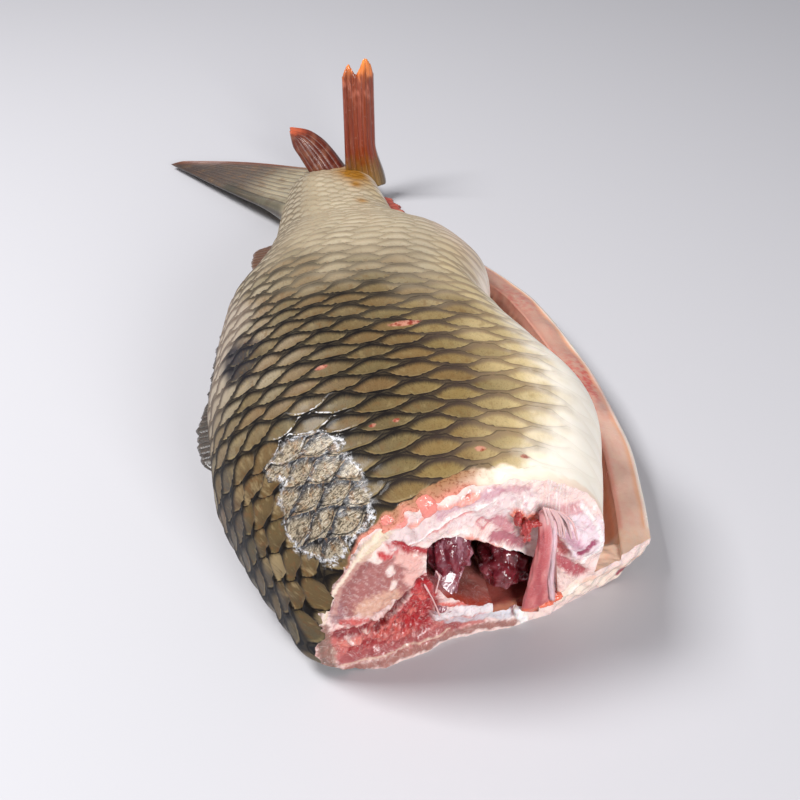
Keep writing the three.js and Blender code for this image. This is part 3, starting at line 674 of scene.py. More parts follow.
def cut_paint(mesh):
    p = points_of(mesh)
    x, z = p[:, 0], p[:, 2]
    colour = np.broadcast_to(linear((242, 215, 208)), (len(x), 3)).copy()
    for mark in CUT_MARKS:
        colour = blend(colour, mark[0], 1.08 * mark[1] * mark_share(x, z, mark))
    fibres = bell((x - 23.5) / 4.5) * step(40, 46, z)
    colour = blend(colour, (252, 244, 242), fibres * step(0.3, 0.9, np.sin(x * 5.2 + 0.5 * np.sin(z * 0.6))))
    bloody = bell((x + 28) / 17, (z - 17) / 11)
    colour = layered(colour, [
        ((164, 40, 44), bloody * 0.3),
        ((116, 12, 20), bloody * step(0.0, 0.5, waves(x, z, 3.6, 57)) * 0.85),
        ((240, 176, 164), bloody * step(0.35, 0.7, waves(x, z, 2.6, 58)) * 0.5),
    ])
    muscle = bell((x + 40) / 9, (z - 40) / 11)
    grain = waves(x * 0.8 + z * 0.6, (z - x) * 0.25, 1.5, 59, 2)
    colour = blend(colour, (244, 218, 208), muscle * step(0.35, 0.7, grain) * 0.35)
    colour = blend(colour, (140, 88, 88), muscle * step(-0.35, -0.7, grain) * 0.35)
    streaks = bell((x - 35) / 6, (z - 40) / 10) * step(0.3, 0.8,
                                                       waves(x - 0.5 * z, (x + z) * 0.3, 2.6, 60, 2))
    colour = blend(colour, (206, 120, 150), streaks * 0.5)
    band = bell((z - 63) / 7) * step(-20, -8, x) * step(22, 14, x)
    colour = blend(colour, (196, 124, 140), band * step(0.25, 0.7, waves(x, z, 3.2, 64)) * 0.55)
    colour = blend(colour, (255, 246, 242), band * step(0.3, 0.7, waves(x, z, 2.4, 65)) * 0.5)
    attribute_colour(mesh, "flesh_colour", colour)


# --------------------------------------------------------------------------- fins
def fin_plate(name, sheet, normal, thick, rays, rib, cells):
    """A closed ribbed fin plate around sheet(u, v): u runs from root to tip, v across the rays."""
    normal = np.asarray(normal, float)
    normal = normal / np.linalg.norm(normal)

    def place(around, u):
        v = 1 - np.abs(around * 2 - 1)
        side = np.where(around < 0.5, 1.0, -1.0)
        close = np.sqrt(np.clip(np.minimum(u, 1 - u) / 0.03, 0,
                                1) * np.clip(np.minimum(v, 1 - v) / 0.05, 0, 1))
        single = np.sqrt(np.abs(np.sin(math.pi * rays * v)))
        branched = np.sqrt(np.abs(np.sin(2 * math.pi * rays * v)))
        ridge = lerp(single, lerp(single, branched, 0.6), step(0.35, 0.7, u)) - 0.7
        half = close * (thick(u, v) / 2 + rib * ridge * (1 - 0.5 * u))
        points = sheet(u, v) + normal * (side * half)[:, None]
        return points + FISH_SHIFT, np.stack([v * rays, u], axis=-1)

    return new_object(name, grid_mesh(2 * cells[0], cells[1], place, closed=True))


def through(points):
    """A smooth curve of x, y from 0 to 1 through evenly spaced points."""
    points = np.asarray(points, float)
    at = np.linspace(0, 1, len(points))
    curves = [smooth_curve(at, points[:, k]) for k in range(points.shape[1])]
    return lambda t: np.stack([curve(t) for curve in curves], axis=-1)


flat_low = through([[-28, 142], [-40, 165], [-52, 184], [-63, 202], [-75, 222], [-87, 242]])
flat_high = through([[8, 178], [-4, 200], [-17, 211], [-36, 224], [-54, 234], [-82, 244]])


def flat_lobe_sheet(u, v):
    xy = flat_low(u) * (1 - v)[:, None] + flat_high(u) * v[:, None]
    z = lerp(12.5, 3.2, u) + 0.6 * np.sin(v * 9) * (1 - u)
    return np.stack([xy[:, 0], xy[:, 1], z], axis=-1)


def flat_lobe_thickness(u, v):
    return (lerp(9, 1.8, u**0.6) + 7 * (1 - step(0, 0.3, u))) * (0.75 + 0.25 * np.sin(v * math.pi))


standing_top = smooth_curve([0, 0.22, 0.42, 0.7, 0.88, 1], [70, 76, 71, 80, 76.5, 70])


def standing_lobe_sheet(u, v):
    rag = 0.5 * step(0.8, 1, u) * np.sin(v * 60) * np.sin(v * 23 + 1)
    z = lerp(8, standing_top(v) - np.abs(rag), u)
    right = lerp(28.5, 23, step(0, 0.4, u))
    return np.stack([lerp(6, right, v), 186 + 4 * u + 1.6 * np.sin(v * 7), z], axis=-1)


middle_inner = through([[-11, 11], [-14.6, 17.3], [-17.7, 23], [-20.7, 28.7], [-21.5, 33], [-21.9, 36.5]])
middle_outer = through([[9, 13], [5.6, 18.1], [1.6, 24], [-4.1, 30.7], [-12.1, 35.9], [-21.4, 37.7]])


def middle_rays_sheet(u, v):
    xz = middle_inner(u) * (1 - v)[:, None] + middle_outer(u) * v[:, None]
    return np.stack([xz[:, 0], 195 + 7 * u - 3 * np.sin(v * math.pi) + 2 * v, xz[:, 1]], axis=-1)


def tail_root_mesh():
    keys = np.array([[158, -29, 21, 20], [166, -25, 20, 20], [186, -19, 19.5, 15], [198, -16, 18, 10],
                     [206, -12, 12, 6]])
    back, belly, deep = (smooth_curve(keys[:, 0], keys[:, k]) for k in (1, 2, 3))

    def ring(y, angle):
        end = np.sqrt(np.clip((206.5 - y) / 3, 0, 1))
        wide, high = (belly(y) - back(y)) / 2, deep(y) / 2
        ribs = 0.35 * np.abs(np.sin(angle * 9)) * step(186, 196, y)
        x = (back(y) + belly(y)) / 2 + (wide + ribs) * np.cos(angle) * (0.8 + 0.2 * end)
        z = 10 + (high + ribs) * np.sin(angle) * end
        return np.stack([x, y, z], axis=-1)

    return ring_loft("tail_root", lambda v: lerp(158, 206.5, v), ring, (96, 60), 0)


dorsal_height = smooth_curve([-72, -62, -46, -22, 30, 66, 90, 106, 117], [-3, 4, 4.5, 2.5, 3, 3, 8, 10, -3])
anal_height = smooth_curve([122, 132, 146, 156, 164], [2, 7, 6.5, 4, -3])


def dorsal_sheet(u, v):
    y = lerp(-72, 117, v)
    rag = u * (0.35 * np.sin(y * 0.55) + 0.45 * waves(y, 0 * y, 6, 81))
    return np.stack([back_x(y) + lerp(9, -dorsal_height(y), u) - rag, y, back_z(y) + 0 * y], axis=-1)


def anal_sheet(u, v):
    y = lerp(122, 164, v)
    rag = u * (0.7 * np.sin(y * 0.9) + 0.4 * waves(y, 0 * y, 4, 82))
    return np.stack([belly_x(y) + lerp(-9, anal_height(y), u) + rag, y + 3 * u, 12 + 0 * y], axis=-1)


# --------------------------------------------------------------------------- torn bits in the opening
def ribbon(path, widths, depth, cells=(32, 60), seed=91, rough=0.0, slant=0.0):
    """A closed flattened tube along a path of points; widths are half-widths, slant tilts its low end."""
    spine = through(path)
    half = through([[w] for w in widths])

    def place(around, t):
        angle = around * 2 * math.pi
        end = np.sqrt(np.clip(np.minimum(t, 1 - t) / 0.04, 0, 1))
        fibres = rough * waves(angle * 6, t * 9, 5, seed)
        middle = spine(t)
        middle[:, 0] += (half(t)[:, 0] + fibres) * np.cos(angle) * end
        middle[:, 1] += (np.minimum(depth, half(t)[:, 0]) + fibres) * np.sin(angle) * end
        middle[:, 2] += slant * t**3 * half(t)[:, 0] * np.cos(angle)
        return middle + FISH_SHIFT, np.stack([around, t], axis=-1)

    return grid_mesh(*cells, place, closed=True)


def joined(name, parts):
    bm = bmesh.new()
    for part in parts:
        mesh = bpy.data.meshes.new("part")
        part.to_mesh(mesh)
        part.free()
        bm.from_mesh(mesh)
        bpy.data.meshes.remove(mesh)
    return new_object(name, bm)


def strip_mesh():
    """The torn strip of muscle that hangs before the opening, with its broken pale cord along one side."""
    path = [(19.6, -145.4, 61), (20.4, -146.6, 49), (20.4, -145.2, 38), (20.6, -143.2, 27),
            (21.4, -141, 17.5),
            (22.6, -139.6, 10.5)]
    sheet = ribbon(path, (2.2, 3.0, 3.5, 4.0, 5.2, 6.8), 1.8, (64, 110), 91, 0.25, 0.55)
    edge = [(22.4, -146.8, 57), (22.9, -147.4, 47), (23.3, -146.4, 38), (24.0, -144.4, 28),
            (25.6, -142.4, 19),
            (26.6, -141.4, 13)]
    cord = ribbon(edge, (0.5, 1.0, 0.7, 1.1, 1.0, 0.6), 0.8, (24, 120), 93, 0.45)
    torn = [lump((27.6, -139.8, 13.4), (3.0, 1.6, 1.7), 129, 0.25, 4),
            lump((24.4, -139.6, 10.6), (3.2, 1.5, 1.3), 130, 0.25, 4)]
    return joined("hanging_strip_flesh", [sheet, cord, *torn])


def strip_paint(mesh):
    p = points_of(mesh)
    x, z = p[:, 0], p[:, 2]
    right = x - np.interp(z, [13, 19, 28, 38, 47, 57], [26.6, 25.6, 24.0, 23.3, 22.9, 22.4])
    colour = np.broadcast_to(linear((198, 100, 102)), (len(x), 3)).copy()
    colour = layered(colour, [
        ((164, 58, 66), bell((right + 4.4) / 1.3) * 0.55),
        ((222, 140, 136), step(0.0, 0.9, waves(x, z * 0.3, 5, 94, 1)) * 0.5),
        # Painted highlight: pale along the cord at the strip's right edge.
        ((240, 214, 222), bell(right / 1.1) * step(11, 15, z) * 0.8),
        ((226, 176, 176), step(52, 58, z) * 0.6),
    ])
    low = step(3.2, 1.2, near_path(x, z, [(16, 8.5), (22, 9.0), (30, 14)]))
    colour = blend(colour, (240, 120, 84), low * 0.85)
    attribute_colour(mesh, "flesh_colour", colour)


def threads_mesh():
    """Threads that hang in the mouth, and the fan of white fibres over the strip."""
    parts = [ribbon([(-20.5, -147, 36), (-17.4, -146.9, 28), (-14.5, -145.4, 18)], (0.35, 0.25, 0.45), 0.35,
                    (10, 40), 95, 0.1),
             ribbon([(-16.5, -146.6, 41), (-15.2, -145.4, 36), (-16.2, -145.2, 29)], (0.35, 0.25, 0.4), 0.35,
                    (10, 40), 97, 0.1)]
    for k in range(9):
        top, low = 18.2 + 0.75 * k, 20.6 + 1.3 * k
        bow = 0.5 * math.sin(2.4 * k)
        parts.append(ribbon([(top, -147.0, 63.5 - 0.4 * k),
                             ((top + low) / 2 + 0.5 + bow, -147.5, 57 - 0.2 * k),
                             (low + bow, -146.9, 50 - 0.5 * k)], (0.45, 0.5, 0.2), 0.35, (8, 24), 98 + k,
                             0.08))
    return joined("mouth_threads", parts)


def organ_film_mesh():
    """Torn film that trails from the near organ remnant down to the lower edge."""
    parts = [ribbon([(-9, -134.5, 29), (-11.5, -139, 23.5), (-13.6, -143.4, 17.5)], (5.0, 3.4, 1.6), 1.2,
                    (40, 60), 96, 0.3),
             ribbon([(-3.6, -131, 27), (-6.6, -136, 22), (-10.6, -142.6, 16)], (1.0, 0.7, 0.8), 0.8, (14, 50),
                    99, 0.2)]
    return joined("organ_film", parts)


def fat_mesh():
    """Glossy fat along the upper edge of the cut."""
    parts = [lump((-20.3, -146.6, 69.6), (3.9, 3.0, 4.1), 121, 0.05),
             lump((-32, -147.3, 66.6), (3.4, 2.0, 2.1), 122, 0.15),
             lump((-27.6, -147.6, 66.2), (2.0, 1.8, 1.6), 123, 0.15),
             lump((-6.4, -145.4, 69.6), (3.0, 1.4, 1.8), 124, 0.12)]
    return joined("edge_fat", parts)


def torn_mesh():
    """Torn orange-red bits at the top of the strip."""
    parts = [lump((10.4, -145.6, 58.2), (1.2, 1.6, 3.0), 125, 0.3, 4),
             lump((13.2, -146.2, 54.6), (1.7, 1.8, 3.2), 126, 0.3, 4),
             lump((16.2, -146.2, 55.6), (2.4, 1.4, 1.2), 127, 0.3, 4),
             lump((13.8, -145.8, 50.0), (1.3, 1.5, 2.2), 128, 0.3, 4)]
    return joined("torn_bits", parts)


def lump(centre, radii, seed, rough=0.1, fine=5, octaves=3):
    """A rounded uneven lump of soft tissue, as a bmesh."""
    bm = bmesh.new()
    bmesh.ops.create_icosphere(bm, subdivisions=fine, radius=1.0)
    unit = np.array([vert.co[:] for vert in bm.verts])
    swell = 1 + rough * (waves(unit[:, 0] * 3 + unit[:, 2], unit[:, 1] * 3, 4, seed, octaves)
                         + 0.4 * waves(unit[:, 0] * 3, unit[:, 2] * 3 + unit[:, 1], 1.6, seed + 1, octaves))
    points = unit * np.asarray(radii) * swell[:, None] + np.asarray(centre) + FISH_SHIFT
    for vert, point in zip(bm.verts, points * MM):
        vert.co = point
    for face in bm.faces:
        face.smooth = True
    return bm


# --------------------------------------------------------------------------- shader building
class Shader:
    """A material whose nodes are added by short calls; values are sockets or plain numbers."""

    def __init__(self, name):
        self.material = bpy.data.materials.new(name)
        self.material.use_nodes = True
        self.tree = self.material.node_tree
        self.tree.nodes.clear()
        self.output = self.add("ShaderNodeOutputMaterial")
        self.surface = self.add("ShaderNodeBsdfPrincipled")
        self.tree.links.new(self.surface.outputs[0], self.output.inputs[0])
        self.place = self.add("ShaderNodeTexCoord").outputs["Object"]

    def add(self, kind, **settings):
        node = self.tree.nodes.new(kind)
        for key, value in settings.items():
            setattr(node, key, value)
        return node

    def feed(self, socket, value):
        if isinstance(value, bpy.types.NodeSocket):
            self.tree.links.new(value, socket)
        elif socket.type == "RGBA":
            socket.default_value = tuple(value)[:3] + (1.0,)
        else:
            socket.default_value = value

    def set(self, name, value):
        self.feed(self.surface.inputs[name], value)

    def math(self, operation, a, b=0.0, c=0.0, clamp=False):
        node = self.add("ShaderNodeMath", operation=operation, use_clamp=clamp)
        for socket, value in zip(node.inputs, (a, b, c)):
            self.feed(socket, value)
        return node.outputs[0]

    def times(self, a, b, clamp=False):
        return self.math("MULTIPLY", a, b, clamp=clamp)

    def plus(self, a, b, clamp=False):
        return self.math("ADD", a, b, clamp=clamp)

    def minus(self, a, b, clamp=False):
        return self.math("SUBTRACT", a, b, clamp=clamp)

    def over(self, a, b, clamp=False):
        return self.math("DIVIDE", a, b, clamp=clamp)

    def most(self, a, b, clamp=False):
        return self.math("MAXIMUM", a, b, clamp=clamp)

    def ramp(self, value, low, high, out_low=0.0, out_high=1.0):
        """A smooth step from one level to another."""
        node = self.add("ShaderNodeMapRange", interpolation_type="SMOOTHSTEP")
        for socket, number in zip(node.inputs, (value, low, high, out_low, out_high)):
            self.feed(socket, number)
        return node.outputs[0]

    def ridge(self, value, middle, width):
        """A soft line of height 1 where the value is near the middle."""
        off = self.over(self.minus(value, middle), width)
        return self.math("POWER", math.e, self.times(self.times(off, off), -1.0))

    def mix(self, share, a, b, blend_type="MIX"):
        node = self.add("ShaderNodeMix", data_type="RGBA", blend_type=blend_type)
        self.feed(node.inputs[0], share)
        self.feed(node.inputs[6], a)
        self.feed(node.inputs[7], b)
        return node.outputs[2]

    def vector(self, x, y, z=0.0):
        node = self.add("ShaderNodeCombineXYZ")
        for socket, value in zip(node.inputs, (x, y, z)):
            self.feed(socket, value)
        return node.outputs[0]

    def parts(self, vector):
        node = self.add("ShaderNodeSeparateXYZ")
        self.feed(node.inputs[0], vector)
        return node.outputs

    def noise(self, size, detail=3.0, rough=0.55, vector=None, stretch=None, distortion=0.0):
        """Noise with blobs of about this size in metres, or of 1 / scale on another vector."""
        where = vector if vector is not None else self.place
        if stretch is not None:
            mapping = self.add("ShaderNodeMapping")
            self.feed(mapping.inputs["Vector"], where)
            mapping.inputs["Scale"].default_value = stretch
            where = mapping.outputs[0]
        node = self.add("ShaderNodeTexNoise")
        self.feed(node.inputs["Vector"], where)
        node.inputs["Scale"].default_value = 1 / size
        node.inputs["Detail"].default_value = detail
        node.inputs["Roughness"].default_value = rough
        node.inputs["Distortion"].default_value = distortion
        return node.outputs[0]

    def attribute(self, name, output="Fac"):
        return self.add("ShaderNodeAttribute", attribute_name=name).outputs[output]

    def random(self, vector):
        node = self.add("ShaderNodeTexWhiteNoise", noise_dimensions="3D")
        self.feed(node.inputs["Vector"], vector)
        return node.outputs

    def bump(self, height, distance, strength=1.0, normal=None):
        node = self.add("ShaderNodeBump")
        node.inputs["Strength"].default_value = strength
        node.inputs["Distance"].default_value = distance
        self.feed(node.inputs["Height"], height)
        if normal is not None:
            self.feed(node.inputs["Normal"], normal)
        return node.outputs[0]

    def wet(self, roughness, coat, coat_roughness, subsurface=0.0, radius=(0.004, 0.0015, 0.0008),
            specular=0.5):
        """Constant gloss and depth values of a moist surface."""
        self.feed(self.surface.inputs["Roughness"], roughness)
        self.surface.inputs["Coat Weight"].default_value = coat
        self.surface.inputs["Coat Roughness"].default_value = coat_roughness
        self.surface.inputs["Specular IOR Level"].default_value = specular
        self.surface.inputs["Subsurface Weight"].default_value = subsurface
        self.surface.inputs["Subsurface Radius"].default_value = (1.0, 0.4, 0.22)
        self.surface.inputs["Subsurface Scale"].default_value = radius[0]


def srgb(r, g, b):
    return tuple(float(c) for c in linear((r, g, b)))


# --------------------------------------------------------------------------- skin looks
# Patches of the skin as outlines in scale rows and pitches.
FILM = [(6.2, 4.6), (6.7, 3.9), (6.7, 3.3), (7.1, 2.6), (7.2, 1.6), (7.0, 0.9), (6.5, 0.6), (5.9, 0.5),
        (5.2, 0.4),
        (4.5, 0.5), (4.1, 1.0), (3.6, 1.7), (3.6, 2.3), (3.8, 3.2), (4.3, 3.6), (3.9, 4.4), (3.8, 4.7),
        (4.9, 4.9),
        (5.5, 4.8)]
FRINGED = [(3.7, 4.4), (4.5, 5.4), (5.1, 5.8), (5.8, 6.1), (6.4, 6.2), (6.9, 5.8), (7.1, 4.4), (7.0, 3.4),
           (5.5, 4.2)]
BRUISE = [(3.2, 12.5), (3.9, 12.2), (4.6, 11.6), (4.9, 10.4), (4.5, 9.6), (4.0, 9.4), (3.3, 9.7), (3.0, 11.2)]
BACK_STRIP = ([6.6, 7.6, 8.5, 9.2, 10.4, 11.9, 13.0, 14.6, 22.9],
              [1.4, 2.3, 2.6, 3.1, 3.5, 3.8, 4.1, 4.3, 0.3])
CREAM_ROW = ([0, 2.3, 3.9, 5.7, 7.1, 17, 27, 38], [10.9, 11.5, 12.1, 12.3, 12.1, 13.2, 13.3, 12.5])


def inside(u, v, outline):
    """Signed distance to a closed outline, above zero inside it."""
    ring = outline + outline[:1]
    away = near_path(u, v, ring)
    within = np.zeros(np.shape(u), bool)
    for (u0, v0), (u1, v1) in zip(ring, ring[1:]):
        crosses = (v0 > v) != (v1 > v)
        within ^= crosses & (u < u0 + (v - v0) * (u1 - u0) / ((v1 - v0) or 1e-9))
    return np.where(within, away, -away)


def skin_paint(mesh):
    """Region colours of the skin: of the scales, of the gaps between them, and masks for its patches."""
    p = points_of(mesh)
    x, y, z = p[:, 0], p[:, 1], p[:, 2]
    uv = np.zeros(len(mesh.loops) * 2, dtype=np.float32)
    mesh.uv_layers["scales"].data.foreach_get("uv", uv)
    corner = np.empty(len(mesh.loops), dtype=np.int32)
    mesh.loops.foreach_get("vertex_index", corner)
    lattice_at = np.zeros((len(mesh.vertices), 2))
    lattice_at[corner] = uv.reshape(-1, 2)
    row, pitch = lattice_at[:, 0], lattice_at[:, 1]
    wander = waves(x, y, 45, 61)
    small = waves(x, y, 14, 62)

    from_cream = row - np.interp(pitch, *CREAM_ROW)
    pale = step(-2.4, 0.2, from_cream + 0.3 * wander)
    cream = step(-0.7, 1.0, from_cream + 0.25 * small)
    tail = step(10, 22, pitch + 1.6 * wander + 0.9 * (row - 8))
    nape = plate_share(row, pitch)
    strip = step(0.7, -0.5, row - np.interp(pitch, *BACK_STRIP) + 0.3 * small) * step(7.0, 11.5, pitch)
    margin = step(0.5, -0.4, row - np.interp(pitch, *PLATE_OUTER)) * (1 - step(5.6, 7.4, pitch))
    bruise = step(-0.5, 0.3, inside(row, pitch, BRUISE) + 0.3 * small)

    scale = np.broadcast_to(linear((102, 85, 57)), (len(x), 3)).copy()
    scale = blend(scale, (92, 76, 48), step(-0.2, 0.9, wander) * 0.6)
    scale = blend(scale, (136, 114, 70), bell((from_cream + 2.2) / 1.5) * (1 - step(8, 18, pitch)) * 0.85)
    scale = blend(scale, (198, 184, 158), tail * 0.95)
    scale = blend(scale, (146, 132, 106), step(8.0, 4.5, row) * step(3, 9, pitch) * 0.8)
    scale = blend(scale, (172, 160, 140), step(6.5, 4.0, row) * step(6, 12, pitch) * 0.75)
    scale = blend(scale, (96, 78, 51), nape * 0.85)
    scale = blend(scale, (166, 152, 136), strip * (0.55 + 0.35 * step(9, 13, pitch)))
    scale = blend(scale, (78, 72, 66), margin * 0.9)
    scale = blend(scale, (54, 52, 57), bruise)
    scale = blend(scale, (222, 198, 146), pale * 0.9)
    scale = blend(scale, (252, 244, 230), cream)
    gap = np.broadcast_to(linear((16, 11, 9)), (len(x), 3)).copy()
    gap = blend(gap, (84, 68, 58), bell((from_cream + 1.4) / 1.5) * 0.8)
    gap = blend(gap, (174, 157, 130), tail * 0.95)
    gap = blend(gap, (84, 72, 58), step(6.0, 3.5, row) * step(12, 17, pitch) * 0.7)
    gap = blend(gap, (112, 97, 85), strip * 0.85)
    gap = blend(gap, (36, 36, 40), margin * 0.9)
    gap = blend(gap, (22, 21, 28), bruise)
    gap = blend(gap, (172, 146, 110), pale * 0.8)
    gap = blend(gap, (248, 239, 224), cream)
    lain = 1 - step(1, 9, z)
    scale = blend(scale, (206, 192, 172), lain * (1 - margin) * 0.6)
    # Painted light: a faint pink glow beside the belly, painted into the scale and gap colours.
    painted_pink_light = bell((x - 38) / 12, (y - 60) / 55) * step(6, 14, z)
    scale = blend(scale, (246, 220, 206), painted_pink_light * 0.5)
    gap = blend(gap, (238, 208, 192), painted_pink_light * 0.4)
    ochre = (1.5 * bell((x - 8) / 9, (y - 174) / 19) + 0.8 * bell((x - 6) / 3, (y - 150) / 5)
             + 0.8 * bell((x - 4) / 3, (y - 118) / 6)) * step(7, 12, z)
    scale = blend(scale, (170, 116, 32), ochre * 0.95)
    gap = blend(gap, (146, 98, 28), ochre * 0.9)
    attribute_colour(mesh, "scale_colour", scale)
    attribute_colour(mesh, "gap_colour", gap)

    front = cut_y(x, z)
    strip_width = np.interp(x, [-52, -38, -32, -18, -7, 3, 9, 14, 20, 40],
                            [0, 1.2, 3.0, 5.6, 6.4, 6.8, 6, 4.8, 3.5, 2.5])
    bare = step(2, -2, (y - front - strip_width - 1.1 * small)
                * (1 - 0.45 * step(-8, 4, x))) * step(36, 46, z)
    white = step(-9, 4, x + 3 * small)
    naked = np.broadcast_to(linear((150, 108, 72)), (len(x), 3)).copy()
    naked = blend(naked, (164, 120, 92), step(6.5, 2.5, y - front))
    naked = blend(naked, (246, 228, 208), white)
    naked = blend(naked, (206, 134, 118), bell((y - front) / 1.7) * (1 - 0.8 * white))
    attribute_colour(mesh, "naked_colour", naked)
    attribute_mask(mesh, "dotted", 1 - white)
    wounds = np.zeros(len(x))
    for at_x, at_y, long, wide in WOUNDS:
        wounds = np.maximum(wounds, bell((x - at_x) / long, (y - at_y) / wide) * step(45, 49, z))
    attribute_mask(mesh, "bare", bare)
    attribute_mask(mesh, "crust", 0.5 + np.clip(inside(row, pitch, FILM), -0.6, 0.6))
    attribute_mask(mesh, "fringe", step(-0.3, 0.5, inside(row, pitch, FRINGED)))
    attribute_mask(mesh, "wound", wounds)
    attribute_mask(mesh, "contrast",
                   (1 - 0.9 * cream) * (1 - 0.35 * pale) * (1 - 0.5 * tail) * (1 - 0.75 * strip))
    attribute_mask(mesh, "nape", nape)


# Small wounds of the skin: x, y, half-length and half-width, in fish millimetres.
WOUNDS = [(-9.5, -59, 8.0, 2.0), (-43, -77, 3, 1.3), (38, -18, 2.4, 1.6), (1, -131, 2.4, 1.4),
          (15, -134, 2.2, 1.2), (-23, -112, 1.8, 1.0), (-31, -112, 1.6, 1.0)]


